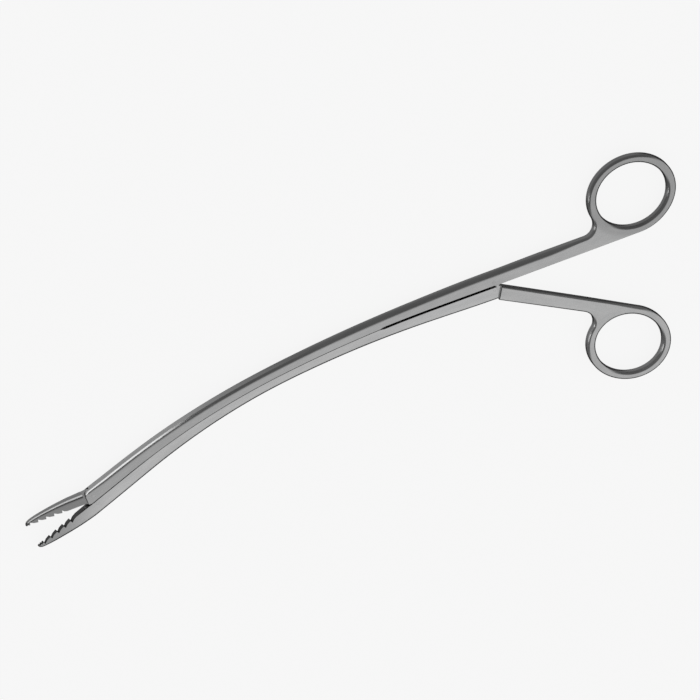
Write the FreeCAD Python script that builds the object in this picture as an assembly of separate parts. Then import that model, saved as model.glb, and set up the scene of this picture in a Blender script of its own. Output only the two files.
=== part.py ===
import FreeCAD, Part
import math
import os

# Curved grasping forceps with ring handles and a split, sliding shaft. Millimetres.
# Shaft frame used below: origin on the parting line near the lever's pivot,
# X along the straight rear shaft towards the finger rings, Y towards the upper ring,
# Z across the instrument. The whole model is moved to the row frame at the end.

V = FreeCAD.Vector

# ---------------------------------------------------------------- driving dimensions
THICK = 5.8              # thickness of every forging, flat side to flat side
EDGE_R = 1.5             # rounding of the outer edges
CRISP = 0.3              # bevel of the lever's inner edge
ORIGIN = (62.87, 12.412)  # shift from the shaft frame to the row frame
HALF_GAP = 0.15          # half of the running gap between the two half bars
RELIEF_GAP = 0.34        # half of the wider gap along the rear stretch
RELIEF_FROM, RELIEF_TO, RELIEF_RAMP = 4.6, 47.0, 2.0

# parting line between the half bars, from the lever's pivot towards the tip
STRAIGHT_REAR = 25.5
BEND_REAR_R, BEND_REAR_A = 544.3, 7.31
BEND_FRONT_R, BEND_FRONT_A = 313.8, 12.62

# stations along the parting line, counted from the lever's pivot towards the tip
S_JAW_PIVOT = 182.5
S_TIP = 211.9            # tip of the lower jaw
JAW_EXTRA = 0.7          # the hinged jaw's tip beyond that
JAW_BACK = 4.5           # from the jaw pivot to the jaw's full-width rear edge
JAW_BACK_LEAN = 4.0      # the jaw's rear face leans towards the tip, degrees
FRONT_GAP = 0.2          # between the upper bar's front face and the closed jaw
FRONT_LEAN = 14.0        # the upper bar's front face leans towards the rings, degrees
FRONT_ROUND = 2.2        # rounded top corner of the upper bar's front
FRONT_TOE = (1.3, 0.5)   # small bevel at its lower corner

# half bar heights over the parting line at stations along it
UPPER_H = [(0, 5.72), (12, 5.6), (29, 5.08), (49, 4.62), (68, 4.38), (85, 4.27), (100, 4.25),
           (115, 4.36), (130, 4.56), (150, 4.92), (170, 5.3), (184, 5.42)]
UPPER_H_FRONT = 5.40
LOWER_H = [(-3, 5.62), (12, 5.38), (29, 4.95), (49, 4.48), (68, 4.15), (85, 3.95), (100, 3.92),
           (115, 4.08), (130, 4.36), (150, 4.85), (170, 5.22), (184, 5.28)]
# jaw back heights over the gripping line at distances from the tip
JAW_H = [(25.6, 4.8), (20.0, 4.7), (15.0, 4.33), (10.0, 3.74), (6.0, 3.13), (3.0, 2.52), (1.5, 2.04),
         (0.9, 1.74), (0.45, 1.36), (0.15, 0.95), (0.03, 0.65)]
LOWER_JAW_H = [(32.0, 5.28), (26.4, 5.28), (20.0, 4.95), (15.0, 4.4), (10.0, 3.68), (6.0, 2.98), (3.0, 2.3),
               (1.5, 1.87), (0.9, 1.6), (0.45, 1.25), (0.15, 0.88), (0.03, 0.6)]
ROOT_D = 25.85           # from the tip to where the lower jaw's taper starts
TIP_R = 1.5              # half width of the jaws at the rounded tip
TAPER = 0.0575           # growth of the half width per millimetre from the tip
JAW_SECTIONS = [22.5, 20.0, 17.5, 15.0, 12.5, 10.0, 8.0, 6.0, 4.5, 3.0, 2.1, 1.5, 1.0, 0.6, 0.3, 0.12, 0.03]
TOOTH_PITCH, TOOTH_DEPTH = 3.43, 1.05
TOOTH_BELLY = (0.46, 0.34)   # the tooth's back: share of the pitch, share of the depth there
LOWER_TEETH = (2.65, 5)      # from the tip to the first large tooth, and how many
UPPER_TEETH = (1.7, 5)
SMALL_TEETH = [(0.75, 1.65), (1.65, 2.65)]
SMALL_DEPTH = 0.5

# pins
PIN_R = 0.75
RUN = 0.05               # radial running clearance of a pin in a tongue
DRIVE_RUN = 0.10         # side clearance of a drive pin in its slotted hole
TONGUE = 2.2             # thickness of the jaw's and the lever's tongue
SLOT = 2.6               # width of the slots that take the tongues
JAW_PIVOT_V = -1.35      # jaw pivot under the parting line
EAR_R = 1.55             # rounding of the tongues around their pins
LEVER_PIVOT = (0.4, 1.45)
LEVER_ARM = 2.8          # lever pivot to lever drive pin

# motion, degrees; the rest pose is between the two ends
LEVER_CLOSE, LEVER_OPEN = 22.0, 4.0
JAW_CLOSE = 18.0

# handles
ARM_TOP = 5.72           # upper edge of the fixed handle over the X axis
ARM_SLOPE = 0.8          # slope of its inner edge, degrees
UP_RING = (64.39, 16.20)
UP_OUT, UP_IN, UP_ANG = (18.75, 15.62), (14.97, 12.48), 10.3
UP_NECK_R = 5.2
LOW_RING = (44.92, -41.78)
LOW_OUT, LOW_IN, LOW_ANG = (17.27, 14.90), (13.82, 11.85), -9.8
LOW_NECK_R = 4.6
LEVER_ANG = -28.55       # direction of the lever's outer edge
LEVER_TOP_N, LEVER_BOT_N = 0.25, -5.12   # its two long edges, measured along its normal
LEVER_FRONT_TOP = (2.82, -1.72)
TONGUE_LEAD = 0.9        # the tongue's lower corner stands this far ahead of the lever's front face
BAR_END_TOP, BAR_END_BOTTOM = 2.05, (0.25, -5.55)

# guide studs
STUD_S = (150.0, 40.0)
STUD_HEAD_R, STUD_HEAD_H, STUD_HEAD_V = 1.35, 0.8, -1.3
STUD_NECK_R, STUD_SHANK_R, STUD_DEPTH = 0.65, 0.9, 3.0
STUD_CLEAR = 0.2
KEY_SHIFT = 4.6          # from a stud to the round entry of its undercut slot

os.makedirs("parts", exist_ok=True)
RAD = math.radians


# ---------------------------------------------------------------- parting line
def parting(s):
    """Point, direction towards the rings and direction towards the upper bar at station s."""
    x, y, h = 0.0, 0.0, math.pi
    if s <= 0:
        return V(-s, 0, 0), V(1, 0, 0), V(0, 1, 0)
    rem = s
    step = min(rem, STRAIGHT_REAR)
    x -= step
    rem -= step
    for r, a in ((BEND_REAR_R, RAD(BEND_REAR_A)), (BEND_FRONT_R, RAD(BEND_FRONT_A))):
        if rem <= 0:
            break
        t = min(rem, r * a) / r
        cx, cy = x + r * math.cos(h + math.pi / 2), y + r * math.sin(h + math.pi / 2)
        h += t
        x, y = cx - r * math.cos(h + math.pi / 2), cy - r * math.sin(h + math.pi / 2)
        rem -= t * r
    if rem > 0:
        x += rem * math.cos(h)
        y += rem * math.sin(h)
    eu = V(-math.cos(h), -math.sin(h), 0)
    return V(x, y, 0), eu, V(-eu.y, eu.x, 0)


def at(s, v):
    p, eu, ev = parting(s)
    return p + ev * v


S1 = STRAIGHT_REAR
S2 = S1 + BEND_REAR_R * RAD(BEND_REAR_A)
S3 = S2 + BEND_FRONT_R * RAD(BEND_FRONT_A)


def parting_edges(sa, sb, v):
    """Edges of the parting line moved by v, from station sa to station sb (sa < sb)."""
    cuts = [sa] + [c for c in (S1, S2, S3) if sa < c < sb] + [sb]
    out = []
    for a, b in zip(cuts, cuts[1:]):
        if b <= S1 or a >= S3:
            out.append(Part.LineSegment(at(a, v), at(b, v)).toShape())
        else:
            out.append(Part.Arc(at(a, v), at((a + b) / 2, v), at(b, v)).toShape())
    return out


def spline(points, t0, t1):
    c = Part.BSplineCurve()
    c.interpolate(Points=points, InitialTangent=t0, FinalTangent=t1)
    return c.toShape()


def seg(a, b):
    return Part.LineSegment(a, b).toShape()


def prism(edges, z0=0.0, z1=THICK):
    wire = Part.Wire(Part.__sortEdges__(edges))
    face = Part.Face(wire)
    solid = face.extrude(V(0, 0, z1 - z0))
    solid.translate(V(0, 0, z0))
    return solid


def poly_prism(pts, z0=0.0, z1=THICK):
    return prism([seg(a, b) for a, b in zip(pts, pts[1:] + pts[:1])], z0, z1)


def pin(p, r, z0=0.0, z1=THICK):
    return Part.makeCylinder(r, z1 - z0, V(p.x, p.y, z0), V(0, 0, 1))


def slotted(p, direction, r, extra, z0, z1):
    """A hole of radius r at p, made longer by extra each way along direction."""
    d = V(direction)
    d.normalize()
    n = V(-d.y, d.x, 0)
    a, b = p + d * extra, p - d * extra
    body = poly_prism([a + n * r, b + n * r, b - n * r, a - n * r], z0, z1)
    return body.fuse([pin(a, r, z0, z1), pin(b, r, z0, z1)]).removeSplitter()


# ---------------------------------------------------------------- ellipses and their tangents
def ell(c, ab, ang, t, grow=0.0):
    """Point at parameter t of an ellipse, moved outwards by grow, and the outward normal there."""
    a, b = ab
    ca, sa = math.cos(RAD(ang)), math.sin(RAD(ang))
    ct, st = math.cos(t), math.sin(t)
    nx, ny = b * ct, a * st
    k = math.hypot(nx, ny)
    nx, ny = nx / k, ny / k
    x, y = a * ct + grow * nx, b * st + grow * ny
    return V(c[0] + x * ca - y * sa, c[1] + x * sa + y * ca, 0), V(nx * ca - ny * sa, nx * sa + ny * ca, 0)


def ell_curve(c, ab, ang):
    e = Part.Ellipse(V(0, 0, 0), ab[0], ab[1])
    e.rotate(FreeCAD.Placement(V(0, 0, 0), FreeCAD.Rotation(V(0, 0, 1), ang)))
    e.translate(V(c[0], c[1], 0))
    return e


def ell_arc(c, ab, ang, t0, t1):
    """Edge of the ellipse from parameter t0 to t1 (t0 < t1)."""
    return Part.ArcOfEllipse(ell_curve(c, ab, ang), t0, t1).toShape()


def solve(f, lo, hi):
    flo = f(lo)
    for _ in range(80):
        mid = (lo + hi) / 2
        if (f(mid) > 0) == (flo > 0):
            lo = mid
        else:
            hi = mid
    return (lo + hi) / 2


# ---------------------------------------------------------------- pin places, at rest
K = V(LEVER_PIVOT[0], LEVER_PIVOT[1], 0)
LEVER_MID = (LEVER_CLOSE - LEVER_OPEN) / 2.0
E = K + V(-math.sin(RAD(LEVER_MID)), -math.cos(RAD(LEVER_MID)), 0) * LEVER_ARM
SLIDE_CLOSE = LEVER_ARM * (math.sin(RAD(LEVER_CLOSE - LEVER_MID)) + math.sin(RAD(LEVER_MID)))
SLIDE_OPEN = LEVER_ARM * (math.sin(RAD(LEVER_OPEN + LEVER_MID)) - math.sin(RAD(LEVER_MID)))
RATIO = JAW_CLOSE / LEVER_CLOSE
JAW_OPEN = LEVER_OPEN * RATIO
JAW_MID = (JAW_CLOSE - JAW_OPEN) / 2.0
JAW_SPAN = (JAW_CLOSE + JAW_OPEN) / 2.0
JAW_ARM = (SLIDE_CLOSE + SLIDE_OPEN) / (2.0 * math.sin(RAD(JAW_SPAN)))
J = at(S_JAW_PIVOT, JAW_PIVOT_V)
JEU, JEV = parting(S_JAW_PIVOT)[1], parting(S_JAW_PIVOT)[2]
D = J + (JEU * math.sin(RAD(JAW_MID)) + JEV * math.cos(RAD(JAW_MID))) * JAW_ARM
# the same drive pin seen from the jaw when the jaw is drawn closed
D_SHUT = J + (JEU * -math.sin(RAD(JAW_CLOSE - JAW_MID)) + JEV * math.cos(RAD(JAW_CLOSE - JAW_MID))) * JAW_ARM

Z0, Z1 = (THICK - SLOT) / 2, (THICK + SLOT) / 2
T0, T1 = (THICK - TONGUE) / 2, (THICK + TONGUE) / 2
TIP_EU, TIP_EV = parting(S_TIP)[1], parting(S_TIP)[2]
FRONT = S_JAW_PIVOT + JAW_BACK - FRONT_GAP - SLIDE_CLOSE


def jp(u, v):
    """Point near the jaw pivot: u towards the rings, v towards the upper bar."""
    return J + JEU * u + JEV * v


def hull_two(a, ra, b, rb, z0, z1):
    """Two discs and the straight sides tangent to both."""
    d = b - a
    ang = math.atan2(d.y, d.x)
    off = math.acos((ra - rb) / d.Length)
    q = []
    for sgn in (1, -1):
        t = V(math.cos(ang + sgn * off), math.sin(ang + sgn * off), 0)
        q.append((a + t * ra, b + t * rb))
    body = poly_prism([q[0][0], q[0][1], q[1][1], q[1][0]], z0, z1)
    return body.fuse([pin(a, ra, z0, z1), pin(b, rb, z0, z1)]).removeSplitter()


def rim_edges(solid, keep):
    """Edges lying in the two flat sides whose middle point passes keep()."""
    out = []
    for e in solid.Edges:
        z = [v.Z for v in e.Vertexes]
        if all(abs(q) < 1e-6 for q in z) or all(abs(q - THICK) < 1e-6 for q in z):
            m = e.valueAt((e.FirstParameter + e.LastParameter) / 2)
            if (abs(m.z) < 1e-6 or abs(m.z - THICK) < 1e-6) and keep(m, e):
                out.append(e)
    return out


def round_edges(solid, edges, name):
    out = solid.makeFillet(EDGE_R, edges)
    if not out.isValid() or out.Volume > solid.Volume or out.Volume < solid.Volume * 0.6:
        raise RuntimeError("rounding failed on " + name)
    return out


def station(p):
    """Station and height of a point near the parting line, by search."""
    best = None
    s = -80.0
    while s <= 215.0:
        q, eu, ev = parting(s)
        d = p - q
        du = abs(d.x * eu.x + d.y * eu.y)
        if best is None or du < best[0]:
            best = (du, s, d.x * ev.x + d.y * ev.y)
        s += 0.5
    return best[1], best[2]


def relief(side):
    """Shallow cut that widens the gap along the rear stretch; side is 1 or -1."""
    a, b, r = RELIEF_FROM, RELIEF_TO, RELIEF_RAMP
    g, far = RELIEF_GAP * side, -0.8 * side
    edges = parting_edges(a, b, g)
    edges.append(seg(at(b, g), at(b + r, HALF_GAP * side)))
    edges.append(seg(at(b + r, HALF_GAP * side), at(b + r, far)))
    edges += parting_edges(a - 0.4, b + r, far)
    edges.append(seg(at(a - 0.4, far), at(a - 0.4, HALF_GAP * side)))
    edges.append(seg(at(a - 0.4, HALF_GAP * side), at(a, g)))
    return prism(edges, -1.0, THICK + 1.0)


# ---------------------------------------------------------------- guide studs
def along_ev(s, v0, v1, r):
    """Cylinder along the height direction at station s, from height v0 to v1."""
    p = at(s, v0)
    return Part.makeCylinder(r, v1 - v0, V(p.x, p.y, THICK / 2), parting(s)[2])


def stud(s):
    return along_ev(s, STUD_HEAD_V - STUD_HEAD_H, STUD_HEAD_V, STUD_HEAD_R).fuse(
        [along_ev(s, STUD_HEAD_V - 0.1, 0.6, STUD_NECK_R), along_ev(s, 0.35, STUD_DEPTH, STUD_SHANK_R)]).removeSplitter()


def undercut(s):
    """Undercut slot with a round entry for a stud's head, cut into the lower bar."""
    c = STUD_CLEAR
    p, eu, ev = parting(s)

    def box(u0, u1, v0, v1, half):
        pts = [p + eu * u0 + ev * v0, p + eu * u1 + ev * v0, p + eu * u1 + ev * v1, p + eu * u0 + ev * v1]
        return poly_prism(pts, THICK / 2 - half, THICK / 2 + half)
    rear = SLIDE_OPEN + c
    low, high = STUD_HEAD_V - STUD_HEAD_H - c, STUD_HEAD_V + c
    entry = p - eu * KEY_SHIFT

    def post(q, v0, v1, r):
        b = q + ev * v0
        return Part.makeCylinder(r, v1 - v0, V(b.x, b.y, THICK / 2), ev)
    neck = box(-KEY_SHIFT, rear, low + 0.2, 1.0, STUD_NECK_R + c).fuse(post(p + eu * rear, low + 0.2, 1.0, STUD_NECK_R + c))
    head = box(-KEY_SHIFT, rear, low, high, STUD_HEAD_R + c).fuse(post(p + eu * rear, low, high, STUD_HEAD_R + c))
    return neck.fuse([head, post(entry, low, 1.0, STUD_HEAD_R + c)]).removeSplitter()


# ---------------------------------------------------------------- upper shaft with the fixed ring
def upper_outline():
    inner_at = at(0.0, HALF_GAP)
    edges = parting_edges(0.0, FRONT, HALF_GAP)

    # inner edge of the handle, tangent to the ring's outside below the ring
    def side(t):
        p, n = ell(UP_RING, UP_OUT, UP_ANG, t)
        d = p - inner_at
        return d.x * n.x + d.y * n.y
    t_in = solve(side, RAD(230), RAD(300))
    edges.append(seg(inner_at, ell(UP_RING, UP_OUT, UP_ANG, t_in)[0]))

    # neck arc tangent to the handle's top and to the ring's left side
    def neck(t):
        return ell(UP_RING, UP_OUT, UP_ANG, t, UP_NECK_R)[0].y - (ARM_TOP + UP_NECK_R)
    t_neck = solve(neck, RAD(180), RAD(230))
    c_neck = ell(UP_RING, UP_OUT, UP_ANG, t_neck, UP_NECK_R)[0]
    p_neck = ell(UP_RING, UP_OUT, UP_ANG, t_neck)[0]
    edges.append(ell_arc(UP_RING, UP_OUT, UP_ANG, t_in - 2 * math.pi, t_neck))
    low = V(c_neck.x, ARM_TOP, 0)
    am = (-math.pi / 2 + math.atan2(p_neck.y - c_neck.y, p_neck.x - c_neck.x)) / 2
    edges.append(Part.Arc(low, c_neck + V(math.cos(am), math.sin(am), 0) * UP_NECK_R, p_neck).toShape())

    # top of the handle and the outer edge of the bar
    edges.append(seg(at(0.0, UPPER_H[0][1]), low))
    pts = [at(s, h) for s, h in UPPER_H if s < FRONT - 4.0]
    p, eu, ev = parting(FRONT)
    ca, sa = math.cos(RAD(FRONT_LEAN)), math.sin(RAD(FRONT_LEAN))
    r, vc = FRONT_ROUND, UPPER_H_FRONT - FRONT_ROUND
    uc = (r + (vc - HALF_GAP) * sa) / ca
    corner = p + eu * uc + ev * UPPER_H_FRONT
    edges.append(spline(pts + [corner], V(-1, 0, 0), eu * -1.0))

    # rounded front corner, the leaning front face and the bevel under it
    c = p + eu * uc + ev * vc
    f_top = c - eu * (r * ca) + ev * (r * sa)
    half = RAD(90 - FRONT_LEAN) / 2
    edges.append(Part.Arc(corner, c + (ev * math.cos(half) - eu * math.sin(half)) * r, f_top).toShape())
    edges.append(seg(f_top, at(FRONT, HALF_GAP)))
    return edges


def make_upper():
    body = prism(upper_outline())
    body = body.cut(prism([ell_curve(UP_RING, UP_IN, UP_ANG).toShape()]))

    def outer(m, e):
        s, v = station(m)
        if m.x > 46 and m.y > 2.2:
            return True
        return v > 1.0 and not (s > 175 and v < 2.8)

    body = round_edges(body, rim_edges(body, outer), "upper_shaft")
    body = body.cut(relief(1.0))
    p, eu, ev = parting(FRONT)
    w, h = FRONT_TOE
    body = body.cut(poly_prism([p - eu + ev * (HALF_GAP - 0.5), p - eu + ev * (HALF_GAP + h + h / w), p + eu * w + ev * HALF_GAP,
                                p + eu * w + ev * (HALF_GAP - 0.5)], -1, THICK + 1))
    # fork at the front for the jaw's tongue
    body = body.cut(poly_prism([jp(-4.5, -0.6), jp(3.2, -0.6), jp(3.2, 2.3), jp(2.6, 4.2), jp(1.5, 9.0), jp(-4.5, 9.0)], Z0, Z1))
    # slot for the lever's tongue, closed on top
    r = EAR_R + 0.2
    pts = [K + V(-2.35, -2.6, 0), K + V(2.8, -2.6, 0), K + V(2.8, 0.2, 0), K + V(1.6, r, 0), K + V(-r + 0.5, r, 0), K + V(-r, 0.8, 0)]
    body = body.cut(poly_prism(pts, Z0, Z1))
    body = body.cut([pin(K, PIN_R, -1, THICK + 1), pin(D, PIN_R, -1, THICK + 1)])
    for s in STUD_S:
        body = body.cut(stud(s))
    return body


# ---------------------------------------------------------------- jaws
def teeth(sign, tip, start, count, g):
    """Prisms cut out of a jaw's gripping face: a row of teeth with steep rear faces."""
    base = at(S_TIP, 0) - TIP_EU * tip

    def w(d, v):
        return base + TIP_EU * d + TIP_EV * (v * sign)
    rows = []
    if start > 2.0:
        rows = [(a, b, SMALL_DEPTH, b) for a, b in SMALL_TEETH]
    else:
        rows = [(0.7, start, 0.4, start)]
    for i in range(count):
        a = start + i * TOOTH_PITCH
        last = i == count - 1 and start < 2.0
        rows.append((a, a + TOOTH_PITCH, TOOTH_DEPTH, a + TOOTH_PITCH * (0.62 if last else 1.0)))
    out = []
    for a, b, depth, stop in rows:
        steep = min(0.22 * depth, 0.3 * (b - a))
        pts = [w(a, g), w(a + steep, g + depth), w(a + (stop - a) * TOOTH_BELLY[0], g + depth * TOOTH_BELLY[1]),
               w(stop, g), w(stop, -1.0), w(a, -1.0)]
        out.append(poly_prism(pts, -1.0, THICK + 1.0))
    return out


def cubic(points, x):
    """Smooth value at x through (x, y) points, with no overshoot."""
    pts = sorted(points)
    n = len(pts)
    d = [(pts[i + 1][1] - pts[i][1]) / (pts[i + 1][0] - pts[i][0]) for i in range(n - 1)]
    m = [d[0]] + [0.0 if d[i - 1] * d[i] <= 0 else 2.0 / (1.0 / d[i - 1] + 1.0 / d[i]) for i in range(1, n - 1)] + [d[-1]]
    if x <= pts[0][0]:
        return pts[0][1]
    if x >= pts[-1][0]:
        return pts[-1][1]
    i = max(k for k in range(n - 1) if pts[k][0] <= x)
    h = pts[i + 1][0] - pts[i][0]
    t = (x - pts[i][0]) / h
    return ((2 * t ** 3 - 3 * t ** 2 + 1) * pts[i][1] + (t ** 3 - 2 * t ** 2 + t) * h * m[i]
            + (-2 * t ** 3 + 3 * t ** 2) * pts[i + 1][1] + (t ** 3 - t ** 2) * h * m[i + 1])


def half_width(d):
    if d >= TIP_R:
        return min(THICK / 2, TIP_R + (d - TIP_R) * TAPER)
    return math.sqrt(TIP_R ** 2 - (TIP_R - d) ** 2)


def section(d, h, w, sign, tip):
    """A jaw's cross section at distance d from the tip: flat grip, flat sides, rounded back."""
    base = at(S_TIP, 0) + TIP_EU * (d - tip) + V(0, 0, THICK / 2)
    g = HALF_GAP
    r = min(EDGE_R, 0.92 * w, 0.85 * (h - g))

    def q(v, z):
        return base + TIP_EV * (v * sign) + V(0, 0, z)
    k = r * (1 - math.sqrt(0.5))
    edges = [seg(q(g, -w), q(g, w)), seg(q(g, w), q(h - r, w)),
             Part.Arc(q(h - r, w), q(h - k, w - k), q(h, w - r)).toShape(),
             seg(q(h, w - r), q(h, -(w - r))),
             Part.Arc(q(h, -(w - r)), q(h - k, -(w - k)), q(h - r, -w)).toShape(),
             seg(q(h - r, -w), q(g, -w))]
    return Part.Wire(edges)


def jaw_loft(points, sign, d_rear, tip):
    ds = [d_rear] + [d for d in JAW_SECTIONS if d < d_rear - 1.0]
    return Part.makeLoft([section(d, cubic(points, d), half_width(d), sign, tip) for d in ds], True, False)


def back_edges(solid, s_lo, s_hi):
    """The two long edges between the lower bar's back and its sides."""
    out = []
    for e in solid.Edges:
        m = e.valueAt((e.FirstParameter + e.LastParameter) / 2)
        s, v = station(V(m.x, m.y, 0))
        if v < -0.9 and abs(m.z - THICK / 2) > 0.8 and s_lo < s < s_hi and e.Length > 0.8:
            a, b = e.valueAt(e.FirstParameter), e.valueAt(e.LastParameter)
            if abs(a.z - b.z) < THICK * 0.5:
                out.append(e)
    return out


def make_lower():
    s_root = S_TIP - ROOT_D
    edges = parting_edges(-BAR_END_TOP, s_root, -HALF_GAP)
    p_bot = V(BAR_END_BOTTOM[0], BAR_END_BOTTOM[1], 0)
    edges.append(seg(at(-BAR_END_TOP, -HALF_GAP), p_bot))
    pts = [p_bot] + [at(s, -h) for s, h in LOWER_H if 5 < s < s_root - 3] + [at(s_root, -cubic(LOWER_JAW_H, ROOT_D))]
    edges.append(spline(pts, V(-1, 0, 0), TIP_EU * -1.0))
    edges.append(seg(pts[-1], at(s_root, -HALF_GAP)))
    body = prism(edges)
    body = round_edges(body, back_edges(body, -5, s_root - 0.5), "lower_shaft")
    body = body.fuse(jaw_loft(LOWER_JAW_H, -1.0, ROOT_D, 0.0))
    body = body.cut(teeth(-1.0, 0.0, LOWER_TEETH[0], LOWER_TEETH[1], HALF_GAP))
    body = body.cut(relief(-1.0))
    # slot for the jaw's tongue, closed at the bottom
    r = EAR_R + 0.22
    body = body.cut(poly_prism([jp(-5.3, 2.5), jp(-5.3, 1.05), jp(-0.55 * r, -0.835 * r), jp(0, -r), jp(0.7 * r, -0.7 * r),
                                jp(r, 0), jp(2.2, 1.0), jp(2.2, 2.5)], Z0, Z1).fuse(pin(J, r, Z0, Z1)))
    # slot for the lever's tongue, open at the bar's end and under it
    pts = [E + V(-2.45, 3.0, 0), E + V(-2.45, -0.6, 0), V(-1.75, -3.2, 0), V(-0.85, -5.9, 0), V(-0.85, -7.5, 0),
           V(4.5, -7.5, 0), E + V(4.5, 3.0, 0)]
    body = body.cut(poly_prism(pts, Z0, Z1))
    body = body.cut([pin(J, PIN_R, -1, THICK + 1), pin(E, PIN_R, -1, THICK + 1)])
    for s in STUD_S:
        body = body.cut(undercut(s))
    return body


def make_jaw():
    """The hinged jaw in its closed place, before it is turned open."""
    body = jaw_loft(JAW_H, 1.0, S_TIP + JAW_EXTRA - (S_JAW_PIVOT + JAW_BACK), JAW_EXTRA)
    body = body.cut(teeth(1.0, JAW_EXTRA, UPPER_TEETH[0], UPPER_TEETH[1], HALF_GAP))
    r = EAR_R
    up = -JAW_PIVOT_V
    lean = math.tan(RAD(JAW_BACK_LEAN))
    body = body.cut(poly_prism([jp(-JAW_BACK, up - 1.0), jp(-JAW_BACK, up), jp(-JAW_BACK - 8.0 * lean, up + 8.0), jp(3.0, up + 8.0),
                                jp(3.0, up - 1.0)], -1, THICK + 1))
    ear = poly_prism([jp(-7.2, up + 0.4), jp(-7.2, up + 4.0), jp(-JAW_BACK - 0.2, up + 4.66), jp(-2.3, up + 4.7), D_SHUT + JEV * r,
                      D_SHUT, J, jp(-0.55 * r, -0.835 * r), jp(-JAW_BACK - 0.5, up + HALF_GAP + 0.02)], T0, T1)
    body = body.fuse([ear, hull_two(D_SHUT, r, J, r, T0, T1)]).removeSplitter()
    body = body.cut(pin(J, PIN_R + RUN, -1, THICK + 1))
    body = body.cut(slotted(D_SHUT, D_SHUT - J, PIN_R + DRIVE_RUN, 0.25, -1, THICK + 1))
    return body


# ---------------------------------------------------------------- ring lever
def lever_outline():
    n = V(math.sin(RAD(-LEVER_ANG)), math.cos(RAD(-LEVER_ANG)), 0)
    d = V(n.y, -n.x, 0)
    top = V(LEVER_FRONT_TOP[0], LEVER_FRONT_TOP[1], 0)
    top = top + n * (LEVER_TOP_N - (top.x * n.x + top.y * n.y))
    bot = d * (top.x * d.x + top.y * d.y) + n * LEVER_BOT_N

    # inner edge tangent to the ring's outside
    def side(t):
        p, m = ell(LOW_RING, LOW_OUT, LOW_ANG, t)
        q = p - top
        return q.x * m.x + q.y * m.y
    t_in = solve(side, RAD(40), RAD(110))
    p_tan = ell(LOW_RING, LOW_OUT, LOW_ANG, t_in)[0]

    # neck arc tangent to the outer long edge and to the ring's left side
    def neck(t):
        p = ell(LOW_RING, LOW_OUT, LOW_ANG, t, LOW_NECK_R)[0]
        return (p.x * n.x + p.y * n.y) - (LEVER_BOT_N - LOW_NECK_R)
    t_neck = solve(neck, RAD(125), RAD(185))
    c_neck = ell(LOW_RING, LOW_OUT, LOW_ANG, t_neck, LOW_NECK_R)[0]
    p_neck = ell(LOW_RING, LOW_OUT, LOW_ANG, t_neck)[0]
    foot = c_neck + n * LOW_NECK_R
    am = (math.atan2(n.y, n.x) + math.atan2(p_neck.y - c_neck.y, p_neck.x - c_neck.x)) / 2
    mid = c_neck + V(math.cos(am), math.sin(am), 0) * LOW_NECK_R
    edges = [seg(top, p_tan), ell_arc(LOW_RING, LOW_OUT, LOW_ANG, t_neck, t_in + 2 * math.pi),
             Part.Arc(p_neck, mid, foot).toShape(), seg(foot, bot), seg(bot, top)]
    return edges, n, d, top, p_tan


def crisp_strip(a, b):
    """Material that keeps the long inner edge from a to b crisp; it fades into the rounding at b."""
    d = b - a
    length = d.Length
    d.normalize()
    n = V(-d.y, d.x, 0)
    wires = []
    for share, c in ((0.0, CRISP), (0.62, CRISP * 1.3), (1.0, EDGE_R)):
        q = a + d * (length * share)
        pts = [q - n * 3.0, q - n * 3.0 + V(0, 0, THICK), q - n * c + V(0, 0, THICK), q + V(0, 0, THICK - c), q + V(0, 0, c), q - n * c]
        wires.append(Part.makePolygon(pts + [pts[0]]))
    return Part.makeLoft(wires, True, True)


def make_lever():
    edges, n, d, top, p_tan = lever_outline()
    body = prism(edges)
    body = body.cut(prism([ell_curve(LOW_RING, LOW_IN, LOW_ANG).toShape()]))

    def rim(m, e):
        # the front face stays sharp
        return m.x * d.x + m.y * d.y > (top.x * d.x + top.y * d.y) + 0.3

    body = round_edges(body, rim_edges(body, rim), "ring_lever")
    body = body.fuse(crisp_strip(top, p_tan))
    r = EAR_R
    bot = d * (top.x * d.x + top.y * d.y) + n * LEVER_BOT_N
    # the tongue is as tall as the lever where it leaves it
    ear = poly_prism([K, K + V(1.3, -0.78, 0), K + V(1.8, -2.45, 0), top + d * 1.2 - n * 0.25, bot + d * 1.2 + n * 0.45,
                      bot - d * TONGUE_LEAD + n * 0.45, E + V(-1.09, -1.09, 0), E], T0, T1)
    body = body.fuse([ear, hull_two(K, r, E, r, T0, T1)]).removeSplitter()
    body = body.cut(pin(K, PIN_R + RUN, -1, THICK + 1))
    body = body.cut(slotted(E, E - K, PIN_R + DRIVE_RUN, 0.2, -1, THICK + 1))
    return body


# ---------------------------------------------------------------- build, move to the row frame, write
def one_solid(shape, name):
    solids = shape.Solids
    if len(solids) != 1:
        raise RuntimeError("%s has %d solids" % (name, len(solids)))
    if not solids[0].isValid():
        raise RuntimeError(name + " is not valid")
    return solids[0]


jaw = make_jaw()
jaw.rotate(J, V(0, 0, 1), -JAW_CLOSE)

nodes = {
    "upper_shaft": make_upper(),
    "lower_shaft": make_lower(),
    "upper_jaw": jaw,
    "ring_lever": make_lever(),
    "jaw_pivot_pin": pin(J, PIN_R),
    "jaw_drive_pin": pin(D, PIN_R),
    "lever_pivot_pin": pin(K, PIN_R),
    "lever_drive_pin": pin(E, PIN_R),
    "front_guide_stud": stud(STUD_S[0]),
    "rear_guide_stud": stud(STUD_S[1]),
}

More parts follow.
